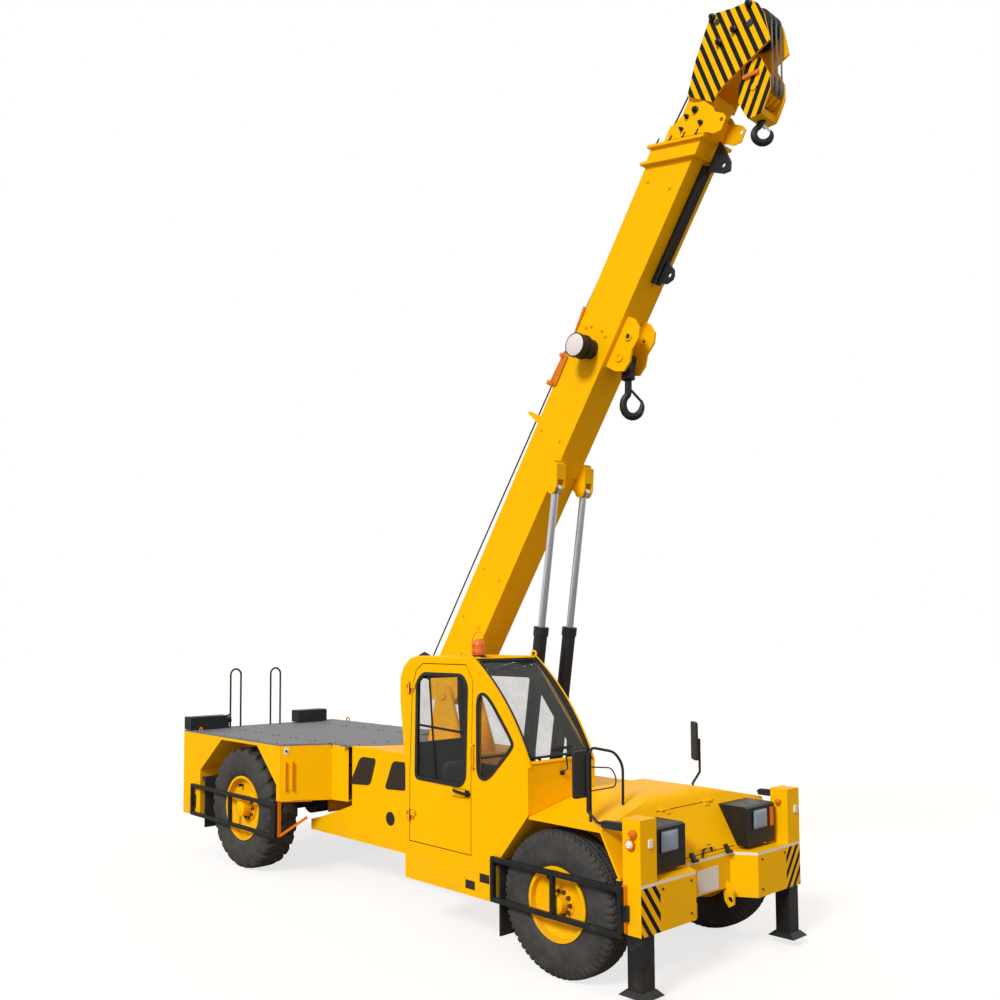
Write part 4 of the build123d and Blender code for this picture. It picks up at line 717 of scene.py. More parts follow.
def screen(down, y, lift=0.0):
    """A place on the bowed screen: down the slope, out by bow times 4 t (1 - t), and across at y."""
    t = np.asarray(down, float) / screen_len
    out = bow * 4 * t * (1 - t) + lift
    flat = top_edge + np.asarray(down)[..., None] * slope + out[..., None] * square
    return np.stack([flat[..., 0], np.broadcast_to(y, flat[..., 0].shape), flat[..., 1]], -1)


down = np.linspace(0.0, screen_len, 33)
# each sheet cheek fills the sliver between the bowed pillar and the cab's straight front edge
cheek_foot = screen(down[::-1], 0.0)[:, [0, 2]]
bulge = bow * 4 * (down[::-1] / screen_len) * (1 - down[::-1] / screen_len)
cheek_foot = cheek_foot - (bulge + 0.02)[:, None] * square
cheek = np.concatenate([screen(down, 0.0, -0.006)[:, [0, 2]], cheek_foot])
frame_bars = []
for edge_y, inward in ((right_y, 1), (left_y, -1)):
    pillar = screen(down, edge_y + inward * 0.026, -0.012)
    frame_bars.append(carried(pillar, box_section(0.052, 0.026), leftward))
    frame_bars.append(plate(cheek, (0, edge_y + inward * 0.014, 0), ahead, upward, 0.013 * inward))
for bar_at in (0.028, screen_len - 0.03):
    header = screen(np.array([bar_at, bar_at]), np.array([right_y + 0.05, left_y - 0.05]), -0.012)
    frame_bars.append(carried(header, box_section(0.024, 0.056), screen_out))
# the frame takes the cab's enamel, so its faces turned in towards the cab carry the painted shade too
put("windscreen_frame", frame_bars, cab_paint_and_shade, "front_frame", 30)
hole_top, hole_foot = 0.062, screen_len - 0.075
hole_right, hole_left = right_y + 0.062, left_y - 0.062
hole = [(hole_top, hole_right), (hole_top, hole_left), (hole_foot, hole_left), (hole_foot, hole_right)]
opening = eased(hole, 0.075, 7)


def resampled(path, count):
    """Points evenly spaced along a closed path, by the distance run."""
    ring = np.concatenate([path, path[:1]])
    run = np.concatenate([[0], np.cumsum(np.linalg.norm(np.diff(ring, axis=0), axis=1))])
    where = np.linspace(0, run[-1], count, endpoint=False)
    return np.stack([np.interp(where, run, ring[:, i]) for i in range(ring.shape[1])], -1)


seal_rubber = rubber("seal_rubber", srgb(22, 22, 23), 0.12)
seal_path = screen(*resampled(opening, 180).T, 0.002)
seal = carried(seal_path, round_section(0.012, 8), screen_out, True)
put("windscreen_seal", [seal], seal_rubber, "front_frame", 50)
pane_rows, pane_columns = 24, 12
over, along = np.meshgrid(
    np.linspace(right_y + 0.06, left_y - 0.06, pane_columns),
    np.linspace(0.06, screen_len - 0.072, pane_rows),
)
sheets = [screen(along, over, lift).reshape(-1, 3) for lift in (-0.002, -0.007)]
quarter = [
    (behind(1820), 1.600), (behind(1820), 2.330), (behind(1740), 2.375), (behind(1640), 2.300),
    (behind(1370), 1.950), (behind(1380), 1.900), (behind(1700), 1.580),
]
quarter_glass = plate(eased(quarter, 0.09), (0, right_y + 0.022, 0), ahead, upward, 0.005)
shapes = [(np.concatenate(sheets), slab_faces(pane_rows, pane_columns)), quarter_glass]
panes = put("cab_panes", shapes, glass, "front_frame", 60)
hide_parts("cab_glass")

# ---- cab side windows, handles and hinges
# Black rubber seals hold the side panes; the door has a pull handle, a rail across its pane, and
# a yellow grab bar beside it on the pillar.
def side_seal(outline, wide):
    """A rubber strip along an outline given as (x, z) on the cab's right side."""
    path = np.insert(outline, 1, right_y - 0.002, axis=1)
    return carried(path, box_section(wide, 0.014), leftward, True)


quarter_seal = side_seal(eased(quarter, 0.12, 7), 0.030)
put("quarter_seal", [quarter_seal], seal_rubber, "front_frame", 40, 0.003)
window = [
    (behind(2700), 1.500), (behind(2680), 2.440), (behind(2590), 2.525), (behind(2030), 2.525),
    (behind(1965), 2.440), (behind(1995), 1.560), (behind(2060), 1.490),
]
put("door_seal", [side_seal(eased(window, 0.05, 6), 0.036)], seal_rubber, "door", 40, 0.003)
level_bar = [(behind(2695), right_y + 0.012, 2.02), (behind(1985), right_y + 0.012, 1.985)]
upright_bar = [(behind(2510), right_y + 0.010, 2.50), (behind(2420), right_y + 0.010, 1.50)]
door_rails = [
    carried(level_bar, box_section(0.022, 0.014), leftward),
    carried(upright_bar, box_section(0.018, 0.012), leftward),
]
put("door_window_rails", door_rails, lamp_case, "door", 30, 0.002)
grip = eased([
    (behind(2113), right_y - 0.004, 1.452), (behind(2113), right_y - 0.045, 1.448),
    (behind(1930), right_y - 0.045, 1.430), (behind(1930), right_y - 0.004, 1.430),
], 0.02, 5, False)
lock = plate(rounded_panel(0.07, 0.06, 0.012), (behind(1965), right_y - 0.002, 1.43), ahead, upward, 0.018)
handle = carried(grip, box_section(0.026, 0.018), upward)
put("door_handle", [handle, lock], lamp_case, "door", 40, 0.003)
grab_x, grab_foot, grab_out = behind(1865), right_y + 0.004, right_y - 0.05
grab = [
    (grab_x, grab_foot, 1.889), (grab_x, grab_out, 1.889),
    (grab_x, grab_out, 1.678), (grab_x, grab_foot, 1.678),
]
grab_bar = carried(eased(grab, 0.035, 7, False), round_section(0.010), ahead)
put("cab_grab_bar", [grab_bar], yellow_paint, "front_frame", 50)


def lifting_eye(at, radius, spread, thick):
    """A bent bar: a circle's arc from below one side over the top, spread radians past level."""
    turn = np.linspace(-spread, pi + spread, 15)
    arc = radius * np.stack([np.cos(turn), 0 * turn, np.sin(turn)], -1)
    return carried(np.array(at) + arc, round_section(thick, 8), leftward)


roof_eyes = ((2060, -1.20), (1935, -0.345))
eyes = [lifting_eye((behind(x), y, 2.7144), 0.032, 0.5, 0.010) for x, y in roof_eyes]
put("cab_lifting_eyes", eyes, yellow_paint, "front_frame", 50)
orange_steel = scuffed("orange_steel", srgb(222, 124, 16), srgb(196, 96, 22), (0.35, 0.55))
hinge_x = behind(2789)
hinge_pin = [(0, -0.062), (0.009, -0.062), (0.009, 0.062), (0, 0.066)]
pillar_side, door_side = [], []
for z in (1.121, 2.378):
    pillar_side.append(turned(hinge_pin, (hinge_x, right_y - 0.0125, z), upward, 12))
    for leaf_from, leaf_to, screws, side in (
        (-0.062, -0.012, ((-0.035, -0.025),), pillar_side),
        (0.014, 0.064, ((0.05, 0.025), (0.09, 0.025)), door_side),
    ):
        leaf = [(leaf_from, -0.038), (leaf_to, -0.038), (leaf_to, 0.038), (leaf_from, 0.038)]
        side.append(plate(eased(leaf, 0.008), (hinge_x, right_y - 0.004, z), ahead, upward, -0.004))
        for dx, dz in screws:
            side.append(bolt((hinge_x + dx, right_y - 0.006, z + dz), rightward, 0.008, 0.007))
put("door_hinge_pins", pillar_side, orange_steel, "front_frame")
put("door_hinge_bolts", door_side, orange_steel, "door")
skirt_places = [(x, z) for z in (0.80, 0.56) for x in (2820, 2500, 2180)] + [(1860, 0.80), (2000, 0.66)]
skirt = [bolt((behind(x), right_y, z), rightward, 0.008, 0.005) for x, z in skirt_places]
put("cab_skirt_bolts", skirt, yellow_paint, "front_frame")

# ---- wiper
# A bent steel arm on a motor spindle below the screen. It holds a short rubber blade level
# against the glass.
arm = [(behind(1188), -0.795, 1.662), (behind(1150), -0.757, 1.70), (behind(1172), -0.755, 1.835)]
blade = screen(np.array([screen_len - 0.125, screen_len - 0.125]), np.array([-0.83, -0.61]), 0.022)
spindle = [(0, -0.02), (0.022, -0.02), (0.022, 0.02), (0.012, 0.03), (0, 0.03)]
wiper = [
    carried(arm, round_section(0.008, 8)),
    carried(blade, box_section(0.012, 0.024), upward),
    turned(spindle, (behind(1188), -0.797, 1.662), ahead, 16),
]
put("wiper", wiper, lamp_case, "front_frame", 40)

# ---- beacon
# An amber plastic dome on a low round base, screwed to the cab roof. A cage of bent wire stands
# over it.
base = np.array((behind(1960), -1.09, 2.70))
dome = [(0, 0.012), (0.062, 0.012), (0.062, 0.11), (0.054, 0.145), (0.032, 0.168), (0, 0.174)]
beacon = put("beacon_dome", [turned(dome, base, upward, 32)], amber, "front_frame", 60)
foot_ring = [(0, 0), (0.076, 0), (0.076, 0.012), (0.062, 0.018), (0, 0.018)]
put("beacon_base", [turned(foot_ring, base, upward, 32)], lamp_case, "front_frame")
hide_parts("beacon")
cage_r = 0.084
wire, arch = round_section(0.0032, 6), np.linspace(0, pi, 21)
cage = []
for way in (np.array(ahead), np.array(leftward)):
    rise = np.sin(arch) * 0.09 + 0.145 * (np.sin(arch) > 0.02)
    hoop = base + np.cos(arch)[:, None] * cage_r * way + rise[:, None] * np.array(upward)
    cage.append(carried(hoop, wire, np.cross(way, upward)))
for z in (0.05, 0.12):
    turn = 2 * arch[:-1]
    level = np.stack([np.cos(turn), np.sin(turn), 0 * turn], -1) * cage_r + (0, 0, z)
    cage.append(carried(base + level, wire, upward, True))
put("beacon_cage", cage, orange_steel, "front_frame", 60)

# ---- driver's seat
# A foam cushion and backrest, covered in black vinyl with sewn edges. They stand on a pedestal
# that is bolted to the cab floor.
def squared(wave, share):
    """A sine or cosine raised to a share of itself, its sign kept, which squares a circle up."""
    return np.sign(wave) * np.abs(wave) ** share


def crowned(half, at, lean=0.0, pinch=0.16, steps=40):
    """A stuffed box: a rounded cube, sides drawn in between corners, its top crowned, leant about Y."""
    u = np.linspace(-pi / 2, pi / 2, steps)[:, None]
    v = np.linspace(-pi, pi, 2 * steps, endpoint=False)[None, :]
    x = squared(np.cos(u), 0.3) * squared(np.cos(v), 0.35)
    y = squared(np.cos(u), 0.3) * squared(np.sin(v), 0.35)
    z = squared(np.sin(u), 0.55) + 0 * v
    x, y = x * (1 - pinch * (1 - y**2) * 0.3), y * (1 - pinch * (1 - x**2) * 0.3)
    sewn = 0.05 * np.exp(-(((np.abs(x) - 0.5) / 0.05) ** 2)) * (z > 0)
    z = z * (0.78 + 0.22 * (1 - x**2) * (1 - y**2)) - sewn
    x, y, z = (c * h for c, h in zip((x, y, z), half))
    turned_x, turned_z = x * cos(lean) + z * sin(lean), -x * sin(lean) + z * cos(lean)
    points = np.stack([at[0] + turned_x, at[1] + y, at[2] + turned_z], -1)
    return points.reshape(-1, 3), grid_faces(steps, 2 * steps)


seat_low, seat_high = box_of("seat")
seat_y = (seat_low[1] + seat_high[1]) / 2
cushion_shape = crowned((0.205, 0.215, 0.062), (behind(2448), seat_y, 1.012))
backrest_shape = crowned((0.30, 0.205, 0.055), (behind(2628), seat_y, 1.352), radians(-80))
cushion = put("seat_cushion", [cushion_shape], seat_cover, "front_frame", 60)
backrest = put("seat_backrest", [backrest_shape], seat_cover, "front_frame", 60)
column = [(0, 0), (0.15, 0), (0.15, 0.02), (0.07, 0.06), (0.07, 0.30), (0.12, 0.36), (0, 0.36)]
pedestal = [
    plate(rounded_panel(0.30, 0.32, 0.02), (behind(2450), seat_y, 0.90), ahead, leftward, 0.05),
    turned(column, (behind(2450), seat_y, 0.542), upward),
]
base_piece = put("seat_pedestal", pedestal, trim_plastic, "front_frame", 35)
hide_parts("seat")

# ---- warning bands on the boom head and hook block
# The boom is three nested box sections of folded plate in the same enamel. Its head plates and
# the block's cheeks wear slanting black bands.
boom_turn = radians(57.7)
foot = np.array((behind(3412), 2.235))


def on_boom(s, n, y=0.0):
    """A place s millimetres along the boom, n across it and y metres to the left."""
    s, n = np.asarray(s) / 1000, np.asarray(n) / 1000
    x = foot[0] + s * cos(boom_turn) - n * sin(boom_turn)
    z = foot[1] + s * sin(boom_turn) + n * cos(boom_turn)
    return np.stack(np.broadcast_arrays(x, y, z), -1)


boom_ahead = np.array((cos(boom_turn), 0, sin(boom_turn)))
boom_up = np.array((-sin(boom_turn), 0, cos(boom_turn)))


def head_bands(finish, colour):
    """Bands down the outer faces of the head plates: 0.94 x + 0.35 z wrapped at the pitch."""
    run = finish.x * cos(boom_turn) + finish.z * sin(boom_turn)
    start = foot[0] * cos(boom_turn) + foot[1] * sin(boom_turn)
    band = (finish.x * 0.937 + finish.z * 0.348).wrap(0.081) < 0.039
    field = (run > start + 6.42) * (finish.y.abs() > 0.1665)
    return finish.mix(band * field, colour, srgb(30, 31, 33))


head_paint = painted("head_paint", head_bands)
nodes["boom_fly"].data.materials[0] = head_paint
block_low, block_high = box_of("hook_block")
block_x = float(block_low[0] + block_high[0]) / 2
block_z = 7.6


def block_bands(finish, colour):
    """Steeper bands on the cheeks, and plain steel rope where the falls run outside the sheaves."""
    band = (finish.x * 0.905 - finish.z * 0.426).wrap(0.092) < 0.044
    cheek = finish.y.abs() > 0.1285
    colour = finish.mix(band * cheek, colour, srgb(30, 31, 33))
    fall = (finish.y.abs() < 0.1) * ((finish.x - block_x).abs() > 0.116) * (finish.z > block_z - 0.09)
    return finish.mix(fall, colour, srgb(120, 116, 112))


nodes["hook_block"].data.materials[0] = painted("block_paint", block_bands)

# ---- hooks
# Each hook is drop-forged from one steel bar, thickest under the load, with a sprung latch
# across its mouth. The larger one is kept in a swivel under the bracket on the boom.
forged_black = scuffed("forged_black", srgb(30, 31, 33), srgb(92, 94, 98), (0.3, 0.5), 0.35)


def forged(path, radii, up, flat=0.8, sides=16):
    """A bar whose oval section grows and shrinks along its path, with rounded ends."""
    points, faces = carried(path, round_section(1.0, sides, flat), up)
    path = np.array(path, float)
    spread = points.reshape(len(path), sides, 3) - path[:, None]
    return (path[:, None] + spread * np.array(radii)[:, None, None]).reshape(-1, 3), faces


def hook_shape(x, bowl_z, size, tall, neck_top, neck_r, y=0.0, lean=0.0):
    """A lifting hook: straight neck, then three quarters of a circle, thickest under the load."""
    way = np.array((cos(pi / 4), sin(pi / 4), 0.0))
    centre = np.array((x, y, bowl_z)) - lean * size * way
    angle = np.radians(np.linspace(118, 384, 48))
    spoke = np.cos(angle)[:, None] * way + np.sin(angle)[:, None] * tall * np.array(upward)
    arc = centre + 0.70 * size * spoke
    neck = np.array([(x, y, neck_top), (x, y, bowl_z + 1.18 * size * tall)])
    thick_at, thick = [118, 150, 200, 265, 310, 350, 384], [0.25, 0.26, 0.29, 0.30, 0.28, 0.20, 0.08]
    bowl_r = size * np.interp(np.degrees(angle), thick_at, thick)
    # the two neck points and the arc are joined through an eased bend
    bend = eased(np.concatenate([neck, arc[:2]]), size * 0.35, 6, False)
    path = np.concatenate([bend, arc[2:]])
    bend_r = np.interp(np.linspace(0, 1, len(bend)), [0, 0.4, 1], [neck_r, neck_r, bowl_r[0]])
    radii = np.concatenate([bend_r, bowl_r[2:]])
    return path, radii, np.cross(way, upward), way, centre


path, radii, flat_way, way, centre = hook_shape(block_x, block_z - 0.374, 0.107, 1.0, block_z - 0.17, 0.030)
catch_ends = np.stack([centre + 0.0716 * way + (0, 0, 0.02), centre + (0, 0, 0.098) - 0.012 * way])
catch = carried(catch_ends, box_section(0.020, 0.005), flat_way)
nut_side = [(0, -0.022), (0.046, -0.022), (0.048, 0.0), (0.046, 0.022), (0, 0.022)]
nut = turned(nut_side, (block_x, 0, block_z - 0.176), upward, 6)
hook = forged(path, radii, flat_way)
main = put("forged_hook", [hook, nut], forged_black, "block_hook", 60)
put("forged_hook_latch", [catch], bright_steel, "block_hook")
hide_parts("main_hook")

bracket_places = ((4105, -271), (4315, -268))
pin = on_boom(*bracket_places[0])
path, radii, flat_way, way, centre = hook_shape(
    pin[0], pin[2] - 0.441, 0.129, 1.25, pin[2] - 0.19, 0.034, lean=-0.3
)
cup_side = [(0, -0.02), (0.052, -0.02), (0.066, -0.012), (0.066, 0.05), (0.052, 0.06), (0, 0.06)]
collar_side = [(0, -0.03), (0.050, -0.03), (0.05, 0.03), (0.04, 0.035), (0, 0.035)]
eye_side = [(0, -0.060), (0.056, -0.060), (0.062, -0.052), (0.062, 0.052), (0.056, 0.060), (0, 0.060)]
strap = eased([(-0.045, -0.125), (0.045, -0.125), (0.058, 0.0), (-0.058, 0.0)], 0.02)
shackle = [
    turned(cup_side, (pin[0], 0, pin[2] - 0.178), upward),
    turned(collar_side, (pin[0], 0, pin[2] - 0.118), upward),
    turned(eye_side, pin, leftward, 28),
    plate(strap, (pin[0], 0.045, pin[2]), ahead, upward, 0.09),
]
catch_ends = np.stack([centre + 0.086 * way + (0, 0, 0.03), centre + (0, 0, 0.145) - 0.012 * way])
catch = carried(catch_ends, box_section(0.024, 0.010), flat_way)
hook = forged(path, radii, flat_way)
second = put("stowed_hook", [hook, *shackle], forged_black, "base_hook", 60)
put("stowed_hook_latch", [catch], forged_black, "base_hook")
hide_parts("fixed_hook")

# ---- winch rope, hoist rope and cable reel
# Steel wire rope lies in turns on the drum and runs taut along the boom to the head pulley; the
# overload cable's reel has a plain pale cover.
rope_steel = scuffed("rope_steel", srgb(74, 72, 70), srgb(140, 136, 130), (0.35, 0.55), 0.6)
drum_half, rope_pitch = 0.132, 0.0165
lay_y = np.linspace(-drum_half, drum_half, 16 * 8 + 1)
lay_r = 0.100 + 0.008 * np.abs(np.sin(pi * (lay_y + drum_half) / rope_pitch))
wound = [(0.085, -drum_half), *zip(lay_r, lay_y), (0.085, drum_half)]
put("drum_rope", [turned(wound, on_boom(45, 490), leftward, 48)], rope_steel, "boom", 70)
line = [(45, 598), (1427, 576), (4092, 516), (4675, 494), (7050, 308)]


def rope_run(s_from, s_to, count=60, radius=0.0085):
    """A taut rope: the line's n at evenly spaced s, carrying a ring of points at one radius."""
    s = np.linspace(s_from, s_to, count)
    path = on_boom(s, np.interp(s, *np.transpose(line)))
    turn = np.linspace(0, 2 * pi, 12, endpoint=False)[None, :] + 0 * s[:, None]
    ring = np.cos(turn)[..., None] * np.array(leftward) + np.sin(turn)[..., None] * boom_up
    ends = [tuple(range(12)), tuple(range((count - 1) * 12, count * 12))]
    return (path[:, None] + radius * ring).reshape(-1, 3), [*map(tuple, grid_faces(count, 12)), *ends]


lower_rope = put("hoist_rope_lower", [rope_run(45, 2500)], rope_steel, None, 70)
upper_rope = put("hoist_rope_upper", [rope_run(2500, 7050)], rope_steel, None, 70)
tuple(on_boom(300, 590))
tuple(on_boom(2450, 590))
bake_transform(lower_rope)
tuple(on_boom(2550, 550))
tuple(on_boom(6900, 550))
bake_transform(upper_rope)
disc = [(0, 0), (0.106, 0), (0.106, 0.003), (0.100, 0.006), (0, 0.007)]
cover = turned(disc, on_boom(4056, 69, -0.421), rightward, 40)
put("reel_cover", [cover], plate_white, "boom")

# ---- hook bracket, rope clamp and guide
# Turned bosses and pins in the bracket's cheeks, a painted clamp that holds the rope's dead end
# to the boom's top edge, and a thin blade that guides the overload cable.
boss_side = [
    (0.024, -0.004), (0.042, -0.004), (0.042, 0.012),
    (0.038, 0.016), (0.026, 0.016), (0.024, 0.012),
]
pin_side = [(0, -0.002), (0.025, -0.002), (0.025, 0.006), (0, 0.007)]
cheeks = [(on_boom(s, n, side * 0.131), (0, side, 0)) for s, n in bracket_places for side in (-1, 1)]
bosses = [turned(boss_side, at, way) for at, way in cheeks]
put("hook_bracket_bosses", bosses, yellow_paint, "boom")
pins = [turned(pin_side, at, way, 20) for at, way in cheeks]
put("hook_bracket_pins", pins, dark_steel, "boom")


def boom_plate(outline, radius, y, thick):
    """A plate on the boom's side, its outline in metres along the boom and across it."""
    return plate(eased(outline, radius), (foot[0], y, foot[1]), boom_ahead, boom_up, thick)


def clamp_ring(s, end_r, middle_r):
    """A short turned collar on the rope, a little thicker at its middle."""
    side = [(0, -0.02), (end_r, -0.02), (middle_r, 0), (end_r, 0.02), (0, 0.02)]
    return turned(side, on_boom(s, 378, -0.172), boom_ahead, 16)


clamp = [
    boom_plate([(3.585, 0.300), (3.900, 0.300), (3.925, 0.385), (3.560, 0.360)], 0.02, -0.184, 0.012),
    carried(on_boom(np.array([3560, 3930]), np.array([395, 372]), -0.172), round_section(0.018)),
    clamp_ring(3580, 0.055, 0.058),
    clamp_ring(3880, 0.04, 0.045),
]
put("rope_end_clamp", clamp, orange_steel, "boom", bevel=0.002)
guide = boom_plate([(4.120, 0.335), (4.390, 0.335), (4.400, 0.372), (4.141, 0.352)], 0.01, -0.182, 0.01)
put("reel_guide_blade", [guide], orange_steel, "boom")

# ---- head pins, pad screws and tie bars
# Turned pins with keeper bolts hold the head's pulleys, and set screws adjust the wear pads
# through the sections' sides and the collar's flanges.
def studs(side, places, y, sides):
    """One turned stud at each (s, n) place on the boom's side at y, pointing away from the boom."""
    return [turned(side, on_boom(s, n, y), (0, np.sign(y), 0), sides) for s, n in places]


keeper_side = [(0, -0.01), (0.028, -0.01), (0.028, 0.03), (0.016, 0.034), (0.016, 0.052), (0, 0.054)]
keepers = studs(keeper_side, ((7223, -31), (7076, 297), (7008, 8), (6889, 109)), -0.17, 20)
put("head_keepers", keepers, forged_black, "boom_third")
screw_side = [(0, -0.004), (0.026, -0.004), (0.026, 0.003), (0.012, 0.004), (0.012, 0.014), (0, 0.015)]
pad_places = (
    (4230, 238), (4232, -38), (4262, 180), (4268, 30), (3121, 253), (3123, -32),
    (1500, 240), (1510, -30), (900, 240), (910, -30), (5650, 240), (5655, -40),
)
screws = [*studs(screw_side, pad_places, -0.181, 16), *studs(screw_side, pad_places, 0.181, 16)]
put("boom_pad_screws", screws, yellow_paint, "boom")
flange_side = [(0, -0.01), (0.014, -0.01), (0.014, 0.012), (0.008, 0.014), (0.008, 0.05), (0, 0.052)]
# the collar leans, so its screws step back along the boom as they rise
collar = [
    turned(flange_side, on_boom(6155 - 200 * (n + 150) / 487, n, side * 0.205), boom_ahead, 8)
    for side in (-1, 1) for n in (-90, 40, 170, 300)
]
put("collar_screws", collar, rust_steel, "boom")
section_studs = []
for s, n, r in ((6330, 60, 0.03), (6240, -60, 0.022), (6260, 120, 0.02), (6150, 120, 0.018)):
    stud_side = [(0, -0.01), (r, -0.01), (r, 0.018), (r * 0.6, 0.022), (r * 0.6, 0.04), (0, 0.042)]
    for y in (-0.166, 0.166):
        section_studs += studs(stud_side, [(s, n)], y, 14)
put("section_screws", section_studs, forged_black, "boom_second")
tie = rounded_panel(0.15, 0.036, 0.008)
ties = [
    plate(tie, (block_x - 0.02, side * 0.131, block_z + 0.115), ahead, upward, -0.022 * side)
    for side in (-1, 1)
]
put("block_tie_bars", ties, orange_steel, "block", bevel=0.002)

# ---- wheel guards
# Square black bars are bolted over the guard frames outside the wheels, with orange end plates
# where the front ones meet the bumper.
rail_section, post_section = box_section(0.038, 0.046), box_section(0.046, 0.036)
for axle, start, stop, lowest, highest in (
    ("front", 1590, 170, 0.545, 0.90), ("rear", 7275, 5275, 0.54, 0.905),
):
    bars = []
    for y in (-1.28, 1.28):
        for z in (lowest, highest):
            rail = [(behind(start + 18), y, z), (behind(stop - 18), y, z)]
            bars.append(carried(rail, rail_section, upward))
        for x in (start, (start + stop) / 2, stop):
            post = [(behind(x), y, lowest), (behind(x), y, highest)]
            bars.append(carried(post, post_section, ahead))
    put(f"guard_rails_{axle}", bars, black_paint, f"{axle}_frame", bevel=0.003)
end_plate = [(-0.018, 0.565), (0.022, 0.565), (0.022, 0.935), (-0.018, 0.935)]
guard_ends = [
    plate(end_plate, (behind(152), side * 1.262, 0), ahead, upward, 0.022 * side) for side in (-1, 1)
]
put("guard_end_plates", guard_ends, orange_steel, "front_frame", bevel=0.002)

# ---- openings in the side plates
# The front frame's side plates have windows and a round port cut in them, and there are two drain
# holes low on its right side. A dark sheet behind each one is painted shade, standing in for the unlit
# hollow.
# painted shade: a dark brown finish for sheets that stand in for the shade inside the hollows
painted_hollow_shade = scuffed("painted_hollow_shade", srgb(46, 38, 32), srgb(62, 52, 44), (0.5, 0.7))
windows = (
    [(behind(4330), 1.504), (behind(4030), 1.512), (behind(4140), 1.200), (behind(4530), 1.172)],
    [(behind(3734), 1.515), (behind(3420), 1.520), (behind(3505), 1.212), (behind(3880), 1.190)],
)
port = [(0, 0), (0.076, 0), (0.076, 0.003), (0, 0.003)]
shade_sheets = []
for side in (-1, 1):
    for edge in windows:
        shade_sheets.append(plate(eased(edge, 0.06), (0, side * 0.7005, 0), ahead, upward, -0.003 * side))
    shade_sheets.append(turned(port, (behind(3777), side * 0.7, 0.876), (0, side, 0), 28))
drain = rounded_panel(0.126, 0.076, 0.006)
for x, z in ((1930, 0.60), (1740, 0.69)):
    shade_sheets.append(plate(drain, (behind(x), -1.236, z), ahead, upward, -0.006))
# these sheets are painted shade behind the openings, not real parts
put("opening_shade_sheets", shade_sheets, painted_hollow_shade, "front_frame")

# ---- deck bolts and lifting eyes
# Plated bolts hold the cover plates down along their edges and seams, and a bent-bar eye is
# welded at each rear corner.
deck_z = box_of("rear_deck")[1][2]
rear_x = box_of("rear_body")[0][0]
seam_rows, edge_rows = (-0.74, -0.66, 0.66, 0.74), (-1.21, 1.21)
heads = []
for x in np.arange(rear_x + 0.2, behind(4700), 0.42):
    # the plates narrow towards the nose, where they have no outer row
    rows = (edge_rows[:1] + seam_rows + edge_rows[1:]) if x < behind(5300) else seam_rows
    heads += [bolt((x, y, deck_z), upward, 0.012, 0.007) for y in rows]
heads += [bolt((behind(4560), y, deck_z), upward, 0.012, 0.007) for y in np.arange(-0.55, 0.56, 0.22)]
put("deck_bolts", heads, rust_steel, "rear_frame")
eyes = [lifting_eye((behind(7181), y, deck_z + 0.022), 0.034, 0.6, 0.009) for y in (-1.215, 1.215)]
put("deck_lifting_eyes", eyes, orange_steel, "rear_frame", 50)

# ---- nose brace, step and battery switch
# A welded bar frame braces the rear body's slanting nose plate from below, and the plate carries
# a folded step channel and the battery switch.
nose_low, nose_top = 1.08, 1.42
nose_start, nose_end = np.array((behind(5190), -1.24, 0.0)), np.array((behind(4900), -0.695, 0.0))
nose_way = (nose_end - nose_start) / np.linalg.norm(nose_end - nose_start)
nose_out = np.cross(nose_way, upward)
slant = [(behind(5205), -1.225, 0.54), (behind(4925), -1.03, 0.775)]
post = [(behind(5205), -1.235, 0.53), (behind(5205), -1.235, 0.955)]
top_bar = [(behind(5215), -1.235, 0.945), (behind(5010), -0.90, 0.945)]
brace = [
    carried(slant, box_section(0.030, 0.030), upward),
    carried(post, box_section(0.035, 0.035), ahead),
    carried(top_bar, box_section(0.030, 0.022), upward),
]
put("nose_brace", brace, orange_steel, "rear_frame", bevel=0.002)
channel = []
for run, wide, thick in ((0.055, 0.012, 0.045), (0.135, 0.012, 0.045), (0.055, 0.092, 0.006)):
    strip = [(0, nose_low), (wide, nose_low), (wide, nose_top), (0, nose_top)]
    channel.append(plate(strip, nose_start + nose_way * run, nose_way, upward, thick))
put("nose_step_channel", channel, yellow_paint, "rear_frame", bevel=0.002)
switch_at = nose_start + nose_way * 0.075 + (0, 0, 1.535)
switch_plate = plate(rounded_panel(0.06, 0.08, 0.006), switch_at, nose_way, upward, 0.006)
put("battery_switch_plate", [switch_plate], plate_white, "rear_frame")
knob = [(0, 0), (0.013, 0), (0.013, 0.02), (0.007, 0.022), (0.007, 0.034), (0, 0.035)]
put("battery_switch", [turned(knob, switch_at, nose_out, 14)], lamp_case, "rear_frame")

# ---- work lamp at the tail
# A round lamp with a pressed steel body, turned outwards. A short rod post welded to the deck
# carries it beside the tail box.
lamp_side = [(0, -0.05), (0.03, -0.05), (0.056, -0.01), (0.062, 0.02), (0.056, 0.026), (0, 0.028)]
post = [(behind(7425), -0.67, deck_z), (behind(7425), -0.67, deck_z + 0.11)]
work_lamp = [
    turned(lamp_side, (behind(7420), -0.655, deck_z + 0.14), (0.4, 0.8, 0.1), 28),
    carried(post, round_section(0.012)),
]
put("tail_work_lamp", work_lamp, lamp_case, "rear_frame", 40)

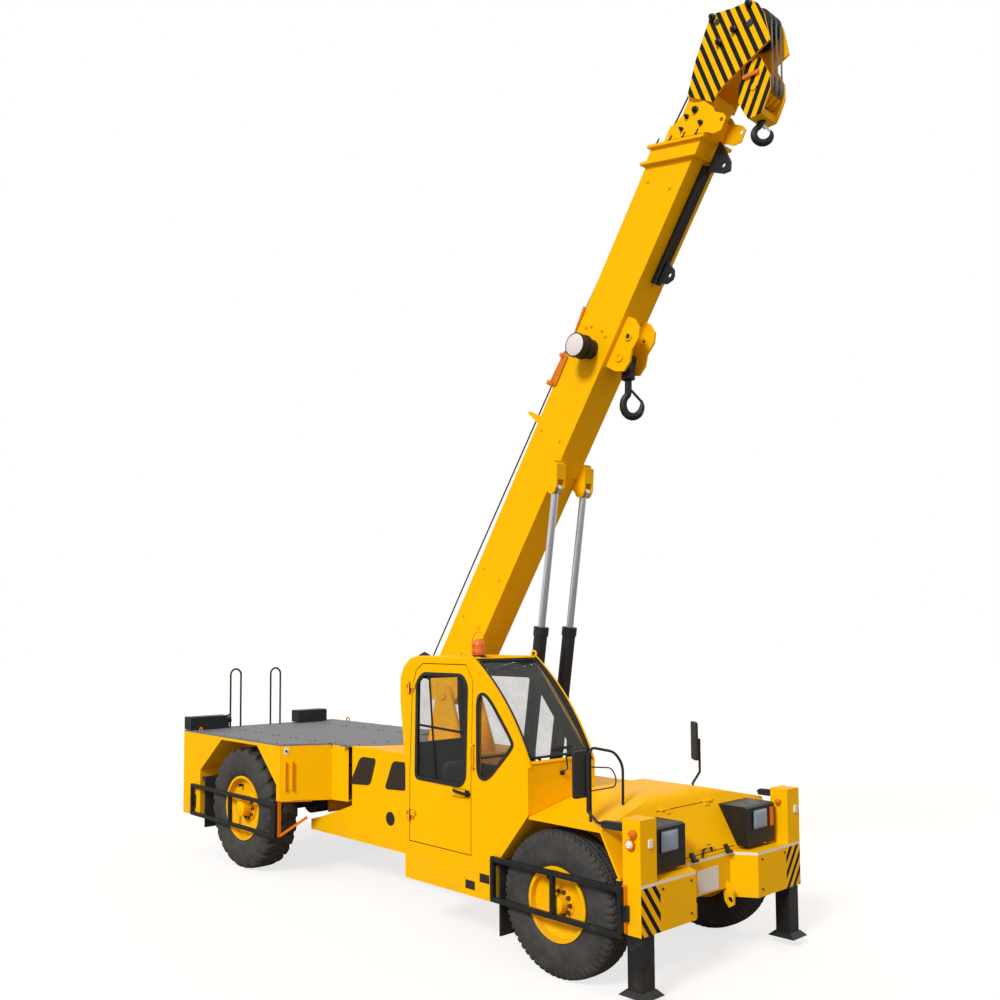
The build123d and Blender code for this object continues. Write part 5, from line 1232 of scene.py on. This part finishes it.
# ---- floor, light and camera
# A plain pale studio floor, white paper all round, one broad key light from the crane's right and
# an even warm fill. The camera stands off its front right corner.
floor_half = 90.0
floor_corners = [(x * floor_half, y * floor_half, 0) for x, y in ((-1, -1), (1, -1), (1, 1), (-1, 1))]
floor_mesh = bpy.data.meshes.new("floor")
floor_mesh.from_pydata(floor_corners, [], [(0, 1, 2, 3)])
floor = bpy.data.objects.new("floor", floor_mesh)
bpy.context.scene.collection.objects.link(floor)
floor_paint = Finish("floor_paint")
painted_floor = floor_paint.node("ShaderNodeBsdfDiffuse", {}, (0.9, 0.9, 0.9, 1))
glow = floor_paint.node("ShaderNodeEmission", {}, (1, 1, 1, 1), 1.13)
pale = floor_paint.node("ShaderNodeMixShader", {}, 0.66, painted_floor, glow)
# the camera sees the pale floor, and the crane is lit by the light that a darker one throws up
dark = floor_paint.node("ShaderNodeBsdfDiffuse", {}, (0.32, 0.30, 0.28, 1))
camera_ray = floor_paint.node("ShaderNodeLightPath", {})
floor_mesh.materials.append(
    floor_paint.close(floor_paint.node("ShaderNodeMixShader", {}, camera_ray, dark, pale))
)

world = bpy.data.worlds.new("studio")
bpy.context.scene.world = world
sky = Finish("studio", world)
fill = sky.node("ShaderNodeBackground", {}, (1.0, 0.81, 0.63, 1), 0.60)
paper = sky.node("ShaderNodeBackground", {}, (1, 1, 1, 1))
# white paper shows directly, in reflections and through glass; the warm fill lights the rest
straight, mirrored, through = (
    sky.node("ShaderNodeLightPath", {}, out=f"Is {ray} Ray") for ray in ("Camera", "Glossy", "Transmission")
)
seen = (straight + mirrored + through) > 0.5
sky.close(sky.node("ShaderNodeMixShader", {}, seen, fill, paper), "ShaderNodeOutputWorld")

sun = bpy.data.lights.new("key", "SUN")
sun.energy = 2.3
sun.angle = radians(14)
key = bpy.data.objects.new("key", sun)
key.rotation_mode = "QUATERNION"
key.rotation_quaternion = Vector((0.20, -0.78, 0.59)).to_track_quat("Z", "Y")
bpy.context.scene.collection.objects.link(key)

yaw, pitch, roll = radians(48.3), radians(3.4), radians(-0.1)
eye = (8.1258, -7.4777, 2.9133)
gaze = Vector((-sin(yaw) * cos(pitch), cos(yaw) * cos(pitch), sin(pitch)))
level = Vector((cos(yaw), sin(yaw), 0))
right = level * cos(roll) + level.cross(gaze) * sin(roll)
optics = bpy.data.cameras.new("camera")
optics.sensor_width = 36.0
optics.lens = 34.66
optics.shift_x, optics.shift_y = 0.0609, 0.0771
optics.clip_end = 500.0
camera = bpy.data.objects.new("camera", optics)
aim = Matrix((right, right.cross(gaze), -gaze)).transposed().to_4x4()
camera.matrix_world = Matrix.Translation(eye) @ aim
bpy.context.scene.collection.objects.link(camera)
bpy.context.scene.camera = camera
bpy.context.scene.view_settings.view_transform = "Standard"
